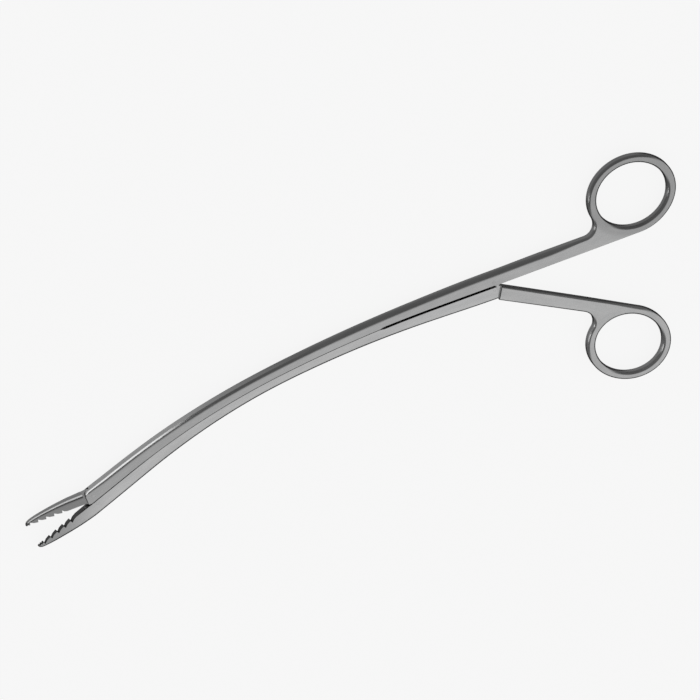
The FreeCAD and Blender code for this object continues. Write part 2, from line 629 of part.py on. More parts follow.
lo, hi = [1e9] * 3, [-1e9] * 3
for name, shape in nodes.items():
    solid = one_solid(shape, name).copy()
    solid.translate(V(ORIGIN[0], ORIGIN[1], 0))
    solid.exportStep("parts/%s.step" % name)
    b = solid.optimalBoundingBox()
    lo = [min(a, c) for a, c in zip(lo, (b.XMin, b.YMin, b.ZMin))]
    hi = [max(a, c) for a, c in zip(hi, (b.XMax, b.YMax, b.ZMax))]
    print("%-18s vol %9.2f  x %8.2f %8.2f  y %8.2f %8.2f  z %5.2f %5.2f" % (
        name, solid.Volume, b.XMin, b.XMax, b.YMin, b.YMax, b.ZMin, b.ZMax))
print("box", [round(q, 3) for q in lo], [round(q, 3) for q in hi], "middle", round((lo[0] + hi[0]) / 2, 4), round((lo[1] + hi[1]) / 2, 4))
for name, p in (("lever pivot", K), ("lever drive", E), ("jaw pivot", J), ("jaw drive", D)):
    print(name, round(p.x + ORIGIN[0], 4), round(p.y + ORIGIN[1], 4))
print("slide close %.4f open %.4f  jaw arm %.4f  jaw open %.3f  ratio %.5f" % (SLIDE_CLOSE, SLIDE_OPEN, JAW_ARM, JAW_OPEN, RATIO))
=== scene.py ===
import bpy
import math
import numpy as np
import bmesh
from mathutils import Vector, Matrix
from mathutils.kdtree import KDTree
from mathutils.geometry import delaunay_2d_cdt


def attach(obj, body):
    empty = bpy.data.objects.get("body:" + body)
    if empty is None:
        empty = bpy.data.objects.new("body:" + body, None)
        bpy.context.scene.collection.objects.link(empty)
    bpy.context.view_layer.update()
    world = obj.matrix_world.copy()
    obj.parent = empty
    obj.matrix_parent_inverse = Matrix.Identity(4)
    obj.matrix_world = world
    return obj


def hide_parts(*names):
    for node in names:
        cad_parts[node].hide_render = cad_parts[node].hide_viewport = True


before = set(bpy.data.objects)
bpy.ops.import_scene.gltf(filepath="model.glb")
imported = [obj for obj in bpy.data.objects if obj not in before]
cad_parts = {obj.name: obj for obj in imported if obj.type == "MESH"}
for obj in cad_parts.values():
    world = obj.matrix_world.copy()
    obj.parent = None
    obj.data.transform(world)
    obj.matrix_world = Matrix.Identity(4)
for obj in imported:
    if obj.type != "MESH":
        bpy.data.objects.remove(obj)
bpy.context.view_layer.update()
scene = bpy.context.scene
RAD = math.radians

# ---------------------------------------------------------------- camera: a long lens, leaning 18 degrees
TILT, TOWARDS, ROLL = RAD(18.0), RAD(130.0), RAD(19.114)
MM_PER_PX = 0.4
ca, sa = math.cos(TOWARDS), math.sin(TOWARDS)
ct, st = math.cos(TILT), math.sin(TILT)
b = Vector((st * ca, st * sa, ct))
a2 = Vector((ct * ca, ct * sa, -st))
ep = Vector((-sa, ca, 0.0))
right = a2 * ca - ep * sa
up = a2 * sa + ep * ca
turn = Matrix.Rotation(-ROLL, 3, "Z")
b, right, up = turn @ b, turn @ right, turn @ up


def flat_point(px, py):
    """Row-frame point (metres, z = 2.9 mm) that shows at a pixel of the 700 x 700 picture."""
    e0 = np.array([ca, sa])
    w = np.array([px, -py], float)
    w = w + (w @ e0) * (1 / ct - 1) * e0
    bar = RAD(19.93)
    q0 = np.array([510.07239198, -305.10971458]) + np.array([-math.sin(bar), math.cos(bar)]) * (-0.2359 / 0.4)
    d = np.array([math.cos(ROLL), math.sin(ROLL)])
    n = np.array([-d[1], d[0]])
    p = w - q0
    return Vector(((p @ d) * MM_PER_PX + 62.87, (p @ n) * MM_PER_PX + 12.412, 2.9)) * 0.001


LENS = 1200.0
cam_data = bpy.data.cameras.new("camera")
cam_data.lens = LENS
cam_data.sensor_width = 36.0
cam = bpy.data.objects.new("camera", cam_data)
scene.collection.objects.link(cam)
target = flat_point(349.78, 349.73)
distance = 0.7 * MM_PER_PX / 2 / (18.0 / LENS)
cam.matrix_world = Matrix.Translation(target + b * distance) @ Matrix((right, up, b)).transposed().to_4x4()
cam_data.clip_start, cam_data.clip_end = 0.1, distance * 3
scene.camera = cam


# ---------------------------------------------------------------- shapes, millimetres, in the shaft frame
# X runs along the straight rear shaft towards the rings, Y towards the upper ring; a station s is
# the distance along the parting line from the lever's pivot towards the tip, v the height over it.
OX, OY = 62.87, 12.412
T = 5.8
MIDZ = T / 2
BENDS = ((544.3, RAD(7.31)), (313.8, RAD(12.62)))
STRAIGHT = 25.5
S_PIVOT, S_TIP, JAW_EXTRA, JAW_BACK = 182.5, 211.9, 0.7, 4.5
GAP = 0.07               # half of the visible gap along most of the parting line
GAP_REAR = 0.44
GAP_MID = -0.12          # the visible parting line's height
SLIDE_CLOSE = 1.0679
FRONT = S_PIVOT + JAW_BACK - 0.2 - SLIDE_CLOSE
UPPER_H = [(0, 5.72), (12, 5.6), (29, 5.08), (49, 4.62), (68, 4.38), (85, 4.27), (100, 4.25),
           (115, 4.36), (130, 4.56), (150, 4.92), (170, 5.3)]
LOWER_H = [(12, 5.38), (29, 4.95), (49, 4.48), (68, 4.15), (85, 3.95), (100, 3.92),
           (115, 4.08), (130, 4.36), (150, 4.85), (170, 5.22)]
JAW_H = [(25.6, 4.8), (20.0, 4.7), (15.0, 4.33), (10.0, 3.74), (6.0, 3.13), (3.0, 2.52), (1.5, 2.04),
         (0.9, 1.74), (0.45, 1.36), (0.15, 0.95), (0.03, 0.65)]
LOWER_JAW_H = [(32.0, 5.28), (26.4, 5.28), (20.0, 4.95), (15.0, 4.4), (10.0, 3.68), (6.0, 2.98), (3.0, 2.3),
               (1.5, 1.87), (0.9, 1.6), (0.45, 1.25), (0.15, 0.88), (0.03, 0.6)]
ROOT_D = 25.85
UP_RING, UP_OUT, UP_IN, UP_ANG, UP_NECK = (64.39, 16.20), (18.75, 15.62), (14.97, 12.48), 10.3, 5.2
LOW_RING, LOW_OUT, LOW_IN, LOW_ANG, LOW_NECK = (44.92, -41.78), (17.27, 14.90), (13.82, 11.85), -9.8, 4.6
ARM_TOP = 5.72


def V2(x, y):
    return np.array([x, y], float)


def parting(s):
    x, y, h = 0.0, 0.0, math.pi
    if s <= 0:
        return V2(-s, 0), V2(1, 0), V2(0, 1)
    rem = s
    step = min(rem, STRAIGHT)
    x -= step
    rem -= step
    for r, a in BENDS:
        if rem <= 0:
            break
        t = min(rem, r * a) / r
        cx, cy = x + r * math.cos(h + math.pi / 2), y + r * math.sin(h + math.pi / 2)
        h += t
        x, y = cx - r * math.cos(h + math.pi / 2), cy - r * math.sin(h + math.pi / 2)
        rem -= t * r
    if rem > 0:
        x += rem * math.cos(h)
        y += rem * math.sin(h)
    eu = V2(-math.cos(h), -math.sin(h))
    return V2(x, y), eu, V2(-eu[1], eu[0])


def at(s, v):
    p, eu, ev = parting(s)
    return p + ev * v


def ell(c, ab, ang, t, grow=0.0):
    a, bb = ab
    co, si = math.cos(RAD(ang)), math.sin(RAD(ang))
    nx, ny = bb * math.cos(t), a * math.sin(t)
    k = math.hypot(nx, ny)
    nx, ny = nx / k, ny / k
    x, y = a * math.cos(t) + grow * nx, bb * math.sin(t) + grow * ny
    return V2(c[0] + x * co - y * si, c[1] + x * si + y * co), V2(nx * co - ny * si, nx * si + ny * co)


def solve(f, lo, hi):
    flo = f(lo)
    for _ in range(60):
        mid = (lo + hi) / 2
        if (f(mid) > 0) == (flo > 0):
            lo = mid
        else:
            hi = mid
    return (lo + hi) / 2


def smooth_curve(points, t0, t1, step):
    """Cubic spline through points with given end directions, sampled about every step."""
    p = np.array(points, float)
    h = np.linalg.norm(np.diff(p, axis=0), axis=1)
    n = len(p)
    a = np.zeros((n, n))
    r = np.zeros((n, 2))
    a[0, 0] = a[-1, -1] = 1
    r[0], r[-1] = t0, t1
    for i in range(1, n - 1):
        a[i, i - 1], a[i, i], a[i, i + 1] = h[i], 2 * (h[i - 1] + h[i]), h[i - 1]
        r[i] = 3 * (h[i] / h[i - 1] * (p[i] - p[i - 1]) + h[i - 1] / h[i] * (p[i + 1] - p[i]))
    m = np.linalg.solve(a, r)
    out = [p[0]]
    for i in range(n - 1):
        k = max(2, int(math.ceil(h[i] / step)))
        for j in range(1, k + 1):
            t = j / k
            out.append((2 * t ** 3 - 3 * t ** 2 + 1) * p[i] + (t ** 3 - 2 * t ** 2 + t) * h[i] * m[i]
                       + (-2 * t ** 3 + 3 * t ** 2) * p[i + 1] + (t ** 3 - t ** 2) * h[i] * m[i + 1])
    return out


def line(a, c, step):
    k = max(1, int(round(np.linalg.norm(c - a) / step)))
    return [a + (c - a) * j / k for j in range(k + 1)]


def arc(c, r, a0, a1, step):
    k = max(2, int(math.ceil(abs(a1 - a0) * r / step)))
    return [V2(c[0] + r * math.cos(a0 + (a1 - a0) * j / k), c[1] + r * math.sin(a0 + (a1 - a0) * j / k)) for j in range(k + 1)]


def cubic(points, x):
    pts = sorted(points)
    n = len(pts)
    d = [(pts[i + 1][1] - pts[i][1]) / (pts[i + 1][0] - pts[i][0]) for i in range(n - 1)]
    m = [d[0]] + [0.0 if d[i - 1] * d[i] <= 0 else 2.0 / (1.0 / d[i - 1] + 1.0 / d[i]) for i in range(1, n - 1)] + [d[-1]]
    if x <= pts[0][0]:
        return pts[0][1]
    if x >= pts[-1][0]:
        return pts[-1][1]
    i = max(k for k in range(n - 1) if pts[k][0] <= x)
    h = pts[i + 1][0] - pts[i][0]
    t = (x - pts[i][0]) / h
    return ((2 * t ** 3 - 3 * t ** 2 + 1) * pts[i][1] + (t ** 3 - 2 * t ** 2 + t) * h * m[i]
            + (-2 * t ** 3 + 3 * t ** 2) * pts[i + 1][1] + (t ** 3 - t ** 2) * h * m[i + 1])


def blend(x, x0, x1, y0, y1):
    t = min(1.0, max(0.0, (x - x0) / (x1 - x0)))
    t = t * t * (3 - 2 * t)
    return y0 + (y1 - y0) * t


class Outline:
    """A closed outline: points, and for each edge after a point the rounding of its upper and lower rim
    and how much the flat side falls away towards it."""

    def __init__(self):
        self.p, self.top, self.low, self.fall = [], [], [], []

    def add(self, pts, top, low, fall=1.0):
        """top, low: a number, or a function of the point."""
        for i in range(len(pts) - 1):
            m = (pts[i] + pts[i + 1]) / 2
            self.p.append(pts[i])
            self.top.append(top(m) if callable(top) else top)
            self.low.append(low(m) if callable(low) else low)
            self.fall.append(fall)

    def arrays(self):
        return np.array(self.p), np.array(self.top), np.array(self.low), np.array(self.fall)


NF = 7                   # steps round a rim


def rim_rings(o, inward):
    """Rings of points over the rim of an outline: top inner ring first, bottom inner ring last."""
    p, top, low, fall = o.arrays()
    n = len(p)
    e = np.roll(p, -1, axis=0) - p
    e /= np.linalg.norm(e, axis=1)[:, None]
    nn = np.stack([-e[:, 1], e[:, 0]], axis=1) * inward   # inward normal of each edge
    prev = np.roll(np.arange(n), 1)
    rings = []
    for r, up in ((top, True), (low, False)):
        steps = range(NF, -1, -1) if up else range(0, NF + 1)
        for k in steps:
            th = math.pi / 2 * k / NF
            ring = np.zeros((n, 3))
            for i in range(n):
                j = prev[i]
                r0, r1 = r[j], r[i]
                n0, n1 = nn[j], nn[i]
                d = float(n0 @ n1)
                if d > 0.94:
                    rr = (r0 + r1) / 2
                    m = (n0 + n1) / (1 + d)
                    xy = p[i] + m * rr * (1 - math.cos(th))
                    z = rr * (1 - math.sin(th))
                else:
                    a = np.array([n0, n1])
                    xy = p[i] + np.linalg.solve(a, np.array([r0, r1]) * (1 - math.cos(th)))
                    z = max(r0, r1) * (1 - math.sin(th))
                ring[i] = (xy[0], xy[1], T - z if up else z)
            rings.append(ring)
    return rings


def inside(q, loops):
    """Even-odd test of points q against closed loops."""
    odd = np.zeros(len(q), bool)
    for lp in loops:
        a, c = lp, np.roll(lp, -1, axis=0)
        for (x0, y0), (x1, y1) in zip(a, c):
            if y0 == y1:
                continue
            hit = ((y0 > q[:, 1]) != (y1 > q[:, 1])) & (q[:, 0] < (x1 - x0) * (q[:, 1] - y0) / (y1 - y0) + x0)
            odd ^= hit
    return odd


def cap(loops, step):
    """Triangles that fill the area between closed loops, with points spread over it."""
    allp = np.concatenate(loops)
    lo, hi = allp.min(axis=0), allp.max(axis=0)
    rows = []
    for j, y in enumerate(np.arange(lo[1] + 0.31 * step, hi[1], step * 0.866)):
        xs = np.arange(lo[0] + (0.5 * step if j % 2 else 0.0) + 0.17 * step, hi[0], step)
        rows.append(np.stack([xs, np.full(len(xs), y)], axis=1))
    g = np.concatenate(rows)
    g = g[inside(g, loops)]
    tree = KDTree(len(allp))
    for i, q in enumerate(allp):
        tree.insert((q[0], q[1], 0), i)
    tree.balance()
    g = np.array([q for q in g if tree.find((q[0], q[1], 0))[2] > 0.55 * step])
    verts = [Vector((x, y)) for x, y in allp] + [Vector((x, y)) for x, y in g]
    edges, base = [], 0
    for lp in loops:
        k = len(lp)
        edges += [(base + i, base + (i + 1) % k) for i in range(k)]
        base += k
    v, _, f, ov, _, _ = delaunay_2d_cdt(verts, edges, [], 1, 1e-6)
    v = np.array([(q.x, q.y) for q in v])
    mid = np.array([v[list(t)].mean(axis=0) for t in f])
    # slivers between nearly straight points of the outer edge belong to the piece too
    tri = v[np.array([list(t) for t in f])]
    area = np.abs((tri[:, 1, 0] - tri[:, 0, 0]) * (tri[:, 2, 1] - tri[:, 0, 1]) - (tri[:, 2, 0] - tri[:, 0, 0]) * (tri[:, 1, 1] - tri[:, 0, 1]))
    rim = np.array([all(ov[k] and ov[k][0] < len(loops[0]) for k in t) for t in f])
    keep = inside(mid, loops) | (rim & (area < 2e-2 * step))
    return v, [t for t, k in zip(f, keep) if k], ov


def falloff(loops_info, width, depth):
    """How far the flat side lies under its full height at a point: rises to depth at falling edges."""
    pts = np.concatenate([o.arrays()[0][o.arrays()[3] > 0] for o in loops_info])
    tree = KDTree(len(pts))
    for i, q in enumerate(pts):
        tree.insert((q[0], q[1], 0), i)
    tree.balance()

    def f(x, y):
        d = tree.find((x, y, 0))[2]
        w = width(x, y) if callable(width) else width
        return depth * max(0.0, 1 - d / w) ** 2
    return f


def forging(name, outer, holes, step, drop):
    """Closed mesh of a flat forging from its outline, its holes and their rims."""
    loops = [(outer, 1.0)] + [(h, -1.0) for h in holes]
    verts, faces = [], []
    tops, bottoms = [], []
    index = {}

    def vid(p):
        key = (round(p[0], 5), round(p[1], 5), round(p[2], 5))
        if key not in index:
            index[key] = len(verts)
            verts.append(key)
        return index[key]
    for o, side in loops:
        p = o.arrays()[0]
        turn_ = 0.5 * float(np.sum(p[:, 0] * np.roll(p[:, 1], -1) - np.roll(p[:, 0], -1) * p[:, 1]))
        ccw = 1.0 if turn_ > 0 else -1.0
        rings = rim_rings(o, ccw * side)
        ids = [[vid(q) for q in r] for r in rings]
        tops.append((rings[0][:, :2], ids[0]))
        bottoms.append((rings[-1][:, :2], ids[-1]))
        n = len(p)
        for a, c in zip(ids, ids[1:]):
            for i in range(n):
                j = (i + 1) % n
                f = [a[i], a[j], c[j], c[i]]
                f = [x for k, x in enumerate(f) if x != f[k - 1]]
                if len(set(f)) > 2:
                    faces.append(f)
    for loopset, z in ((tops, T), (bottoms, 0.0)):
        v, tris, came = cap([q for q, _ in loopset], step)
        border = [i for _, r in loopset for i in r]
        ids = [border[c[0]] if c and c[0] < len(border) else vid((q[0], q[1], z)) for q, c in zip(v, came)]
        for t in tris:
            f = [ids[k] for k in t]
            if len(set(f)) == 3:
                faces.append(f)
    vs = np.array(verts, float)
    c = np.array([drop(x, y) for x, y, _ in vs])
    vs[:, 2] = MIDZ + (vs[:, 2] - MIDZ) * (MIDZ - c) / MIDZ
    return finish_mesh(name, vs, faces)


def finish_mesh(name, vs, faces):
    out = np.array(vs, float).copy()
    out[:, 0] += OX
    out[:, 1] += OY
    me = bpy.data.meshes.new(name)
    me.from_pydata((out * 0.001).tolist(), [], faces)
    me.validate()
    bm = bmesh.new()
    bm.from_mesh(me)
    bmesh.ops.remove_doubles(bm, verts=bm.verts, dist=1e-8)
    bmesh.ops.recalc_face_normals(bm, faces=bm.faces)
    open_edges = sum(1 for e in bm.edges if len(e.link_faces) != 2)
    if open_edges:
        print("NOTE", name, "has", open_edges, "edges without two faces")
    bm.to_mesh(me)
    bm.free()
    ob = bpy.data.objects.new(name, me)
    scene.collection.objects.link(ob)
    return ob


def prism_faces(pts, z0, z1, verts, faces):
    base = len(verts)
    n = len(pts)
    verts += [(p[0], p[1], z0) for p in pts] + [(p[0], p[1], z1) for p in pts]
    faces.append([base + i for i in range(n)][::-1])
    faces.append([base + n + i for i in range(n)])
    for i in range(n):
        j = (i + 1) % n
        faces.append([base + i, base + j, base + n + j, base + n + i])


def round_pts(c, r, k=48):
    return [V2(c[0] + r * math.cos(2 * math.pi * i / k), c[1] + r * math.sin(2 * math.pi * i / k)) for i in range(k)]


def carve(ob, groups):
    """Cuts groups of closed shapes out of a piece; the shapes of one group don't touch each other."""
    for g in groups:
        verts, faces = [], []
        for shape in g:
            shape(verts, faces)
        cutter = finish_mesh(ob.name + "_cut", verts, faces)
        m = ob.modifiers.new("cut", "BOOLEAN")
        m.operation, m.solver, m.object = "DIFFERENCE", "EXACT", cutter
        dg = bpy.context.evaluated_depsgraph_get()
        me = bpy.data.meshes.new_from_object(ob.evaluated_get(dg))
        ob.modifiers.clear()
        old = ob.data
        ob.data = me
        bpy.data.meshes.remove(old)
        bpy.data.objects.remove(cutter)


def post(c, axis, along0, along1, r, k=32):
    """A round bar across the height direction: c in plan, axis in plan, from along0 to along1."""
    def shape(verts, faces):
        base = len(verts)
        side = V2(-axis[1], axis[0])
        for h in (along0, along1):
            for i in range(k):
                t = 2 * math.pi * i / k
                q = c + axis * h + side * (r * math.cos(t))
                verts.append((q[0], q[1], MIDZ + r * math.sin(t)))
        faces.append([base + i for i in range(k)][::-1])
        faces.append([base + k + i for i in range(k)])
        for i in range(k):
            j = (i + 1) % k
            faces.append([base + i, base + j, base + k + j, base + k + i])
    return shape


def slab(pts, z0, z1):
    return lambda verts, faces: prism_faces([V2(*p) for p in pts], z0, z1, verts, faces)


def hole(c, r):
    return lambda verts, faces: prism_faces(round_pts(c, r), -1.0, T + 1.0, verts, faces)


# ---------------------------------------------------------------- pins and studs, seen from the shaft frame
K, E = V2(0.4, 1.45), V2(-0.038, -1.3155)
J = at(S_PIVOT, -1.35)
JEU, JEV = parting(S_PIVOT)[1:]
D = V2(-116.5404 - OX, -12.4786 - OY)
TIP, TEU, TEV = parting(S_TIP)
Z0, Z1, T0, T1 = 1.6, 4.2, 1.8, 4.0
EAR_R = 1.55
HOLE_R = 0.765


def jp(u, v):
    return J + JEU * u + JEV * v


def gap(s):
    """Half of the gap between the half bars at a station."""
    if s < 47.0:
        return GAP_REAR
    return blend(s, 47.0, 49.5, GAP_REAR, GAP) + blend(s, 150.0, 168.0, 0.0, 0.07)


BACK_TOP, BACK_LOW = 2.5, 2.3    # rounding of the bars' backs


# ---------------------------------------------------------------- upper shaft with the fixed ring
def build_upper():
    o = Outline()
    stations = [0.0] + list(np.arange(0.9, 46.9, 0.9)) + list(np.arange(47.0, 50.0, 0.25)) \
        + list(np.arange(50.0, FRONT - 1.4, 0.9))
    p, eu, ev = parting(FRONT)
    g = gap(FRONT) + GAP_MID
    toe_a, toe_b = p + eu * 1.3 + ev * g, p + eu * 0.1137 + ev * (g + 0.4563)
    o.add([V2(0.6, 0.05)] + [at(s, gap(s) + GAP_MID) for s in stations] + [toe_a], 0.07, 0.07, 0.0)
    o.add([toe_a, toe_b], 0.07, 0.07, 0.0)
    lean = RAD(14.0)
    r, vc = 2.2, 5.40 - 2.2
    uc = (r + (vc - 0.15) * math.sin(lean)) / math.cos(lean)
    corner = p + eu * uc + ev * 5.40
    c = p + eu * uc + ev * vc
    f_top = c - eu * (r * math.cos(lean)) + ev * (r * math.sin(lean))
    o.add([toe_b, f_top], 0.12, 0.12, 0.0)
    a0 = math.atan2(f_top[1] - c[1], f_top[0] - c[0])
    a1 = math.atan2(corner[1] - c[1], corner[0] - c[0])
    if a1 > a0:
        a1 -= 2 * math.pi
    pts = arc(c, r, a0, a1, 0.25)
    n = len(pts)
    for i in range(n - 1):
        q = 0.12 + 1.78 * min(1.0, (i + 0.5) / (n - 1) * 1.25)
        o.add(pts[i:i + 2], q, q, 1.0)
    back = [at(s, h) for s, h in UPPER_H if s < FRONT - 4.0] + [corner]
    back = smooth_curve(back, V2(-1, 0), -eu, 0.8)[::-1]
    o.add(back, lambda m: blend(np.linalg.norm(m - corner), 0.0, 9.0, 1.9, BACK_TOP), lambda m: blend(np.linalg.norm(m - corner), 0.0, 9.0, 1.9, BACK_LOW))

    inner_at = V2(0.6, 0.05)

    def side(t):
        q, m = ell(UP_RING, UP_OUT, UP_ANG, t)
        return float((q - inner_at) @ m)
    t_in = solve(side, RAD(230), RAD(300))

    def neck(t):
        return ell(UP_RING, UP_OUT, UP_ANG, t, UP_NECK)[0][1] - (ARM_TOP + UP_NECK)
    t_neck = solve(neck, RAD(180), RAD(230))
    c_neck = ell(UP_RING, UP_OUT, UP_ANG, t_neck, UP_NECK)[0]
    p_neck = ell(UP_RING, UP_OUT, UP_ANG, t_neck)[0]
    low = V2(c_neck[0], ARM_TOP)

    def arm_top(m):
        return blend(m[0], 0.0, 20.0, BACK_TOP, 2.3) if m[0] < 24 else blend(m[0], 24.0, low[0], 2.3, 1.3)

    def arm_low(m):
        return blend(m[0], 0.0, 24.0, BACK_LOW, 1.3)
    o.add(line(at(0.0, ARM_TOP), low, 0.8), arm_top, arm_low)
    an = math.atan2(p_neck[1] - c_neck[1], p_neck[0] - c_neck[0])
    o.add(arc(c_neck, UP_NECK, -math.pi / 2, an, 0.35)[:-1] + [p_neck], 1.3, 1.3)
    ring = [ell(UP_RING, UP_OUT, UP_ANG, t)[0] for t in np.linspace(t_neck, t_in - 2 * math.pi, 190)]
    cx = V2(*UP_RING)

    def ring_top(m):
        a = math.degrees(math.atan2(m[1] - cx[1], m[0] - cx[0])) % 360
        return 1.3 if a < 215 else blend(a, 262, 320, 0.3, 1.3)

    def ring_low(m):
        a = math.degrees(math.atan2(m[1] - cx[1], m[0] - cx[0])) % 360
        return 1.35 if a < 215 else blend(a, 262, 320, 0.3, 1.35)
    o.add(ring, ring_top, ring_low)
    o.add(line(ring[-1], inner_at, 0.9), 0.25, 0.25)
    h = Outline()
    eye = [ell(UP_RING, UP_IN, UP_ANG, t)[0] for t in np.linspace(0, 2 * math.pi, 161)]
    h.add(eye, 1.55, 1.6)
    far = falloff([o, h], lambda x, y: 5.0 if x < 44 else 1.9, 1.0)

    def drop(x, y):
        k = blend(x, 40.0, 50.0, 0.06, 0.05)
        return k * far(x, y)
    ob = forging("upper_shaft_steel", o, [h], 0.95, drop)
    # thin ledge low in the parting gap, so that nothing is seen through it from above: a dark sheet whose top takes
    # the near-black steel, painted shade standing in for the gap's shadow
    for s0, s1 in ((1.6, 45.4), (51.5, 172.0)):
        st = np.linspace(s0, s1, int((s1 - s0) / 2.0) + 1)
        ledge = [at(q, -(gap(q) - GAP_MID) + 0.05) for q in st] + [at(q, gap(q) + GAP_MID + 0.5) for q in st[::-1]]
        unite(ob, slab(ledge, 0.6, 1.42))
    s40, s150 = at(40.0, 0), at(150.0, 0)
    e40, e150 = parting(40.0)[2], parting(150.0)[2]
    carve(ob, [
        [slab([jp(-4.5, -0.6), jp(3.2, -0.6), jp(3.2, 2.3), jp(2.6, 4.2), jp(1.75, 5.3), jp(0.75, 6.2), jp(0.7, 9.0), jp(-4.5, 9.0)], Z0, Z1),
         slab([K + V2(-2.35, -2.6), K + V2(2.8, -2.6), K + V2(2.8, 0.2), K + V2(1.6, 1.75), K + V2(-1.25, 1.75), K + V2(-1.75, 0.8)], Z0, Z1),
         post(s40, e40, -1.0, 3.02, 0.92), post(s150, e150, -1.0, 3.02, 0.92)],
        [hole(K, HOLE_R), hole(D, HOLE_R)],
    ])
    return ob


# ---------------------------------------------------------------- lofted pieces
def tooth_cut(sign, tip, start, count, g):
    base = TIP - TEU * tip

    def w(d, v):
        return base + TEU * d + TEV * (v * sign)
    pitch, depth = 3.43, 1.05
    rows = [(0.75, 1.65, 0.5, 1.65), (1.65, 2.65, 0.5, 2.65)] if start > 2.0 else [(0.7, start, 0.4, start)]
    for i in range(count):
        a = start + i * pitch
        last = i == count - 1 and start < 2.0
        rows.append((a, a + pitch, depth, a + pitch * (0.62 if last else 1.0)))
    pts = [w(rows[0][0], -1.0), w(rows[0][0], g)]
    for a, bb, dep, stop in rows:
        steep = min(0.22 * dep, 0.3 * (bb - a))
        pts += [w(a + steep, g + dep)]
        pts += [w(a + (stop - a) * 0.46, g + dep * 0.34), w(stop, g)]
    pts.append(w(rows[-1][3], -1.0))
    return slab(pts, -1.0, T + 1.0)


def half_width(d):
    if d >= 1.5:
        return min(T / 2, 1.5 + (d - 1.5) * 0.0575)
    return math.sqrt(max(0.0, 1.5 ** 2 - (1.5 - d) ** 2))


def section(g, h, w, r, crown, ease):
    """Closed D-shaped outline (v, z): grip face, side, rounded back, side."""
    q = []
    for z in np.linspace(-(w - ease), w - ease, 9):
        q.append((g, z))
    side = []
    side.append((g + ease * 0.3, w - ease * 0.3))
    side.append((g + ease, w))
    for k in range(1, 5):
        side.append((g + ease + (h - r - g - ease) * k / 5.0, w))
    for k in range(0, NF + 1):
        t = math.pi / 2 * k / NF
        side.append((h - r + r * math.sin(t), w - r + r * math.cos(t)))
    out = []
    for v, z in side:
        c = crown * max(0.0, 1 - (h - v) / 5.0) ** 2
        out.append((v, z * (1 - c / 2.9)))
    top = out
    mid = [(h, z) for z in np.linspace(top[-1][1], -top[-1][1], 5)[1:-1]]
    return q + top + mid + [(v, -z) for v, z in top[::-1]]


def loft(name, rings):
    verts, faces = [], []
    n = len(rings[0])
    for r in rings:
        verts += [tuple(p) for p in r]
    for k in range(len(rings) - 1):
        for i in range(n):
            j = (i + 1) % n
            faces.append([k * n + i, k * n + j, (k + 1) * n + j, (k + 1) * n + i])
    for base, flip in ((0, True), ((len(rings) - 1) * n, False)):
        c = len(verts)
        m = np.mean([verts[base + i] for i in range(n)], axis=0)
        verts.append(tuple(m))
        for i in range(n):
            j = (i + 1) % n
            faces.append([base + j, base + i, c] if flip else [base + i, base + j, c])
    return finish_mesh(name, np.array(verts), faces)


JAW_D = [0.03, 0.07, 0.12, 0.2, 0.3, 0.44, 0.6, 0.8, 1.0, 1.25, 1.5, 1.8, 2.1, 2.5, 3.0]


def jaw_rings(points, sign, tip, ds, g_of, ease_of):
    out = []
    for d in ds:
        h, w = cubic(points, d), half_width(d)
        g = g_of(d)
        r = min(1.9 + 0.5 * (sign > 0), 0.92 * w, 0.85 * (h - g))
        base = TIP + TEU * (d - tip)
        ease = min(ease_of(d), 0.3 * w)
        out.append([(*(base + TEV * (v * sign)), MIDZ + z) for v, z in section(g, h, w, r, 0.1, ease)])
    return out


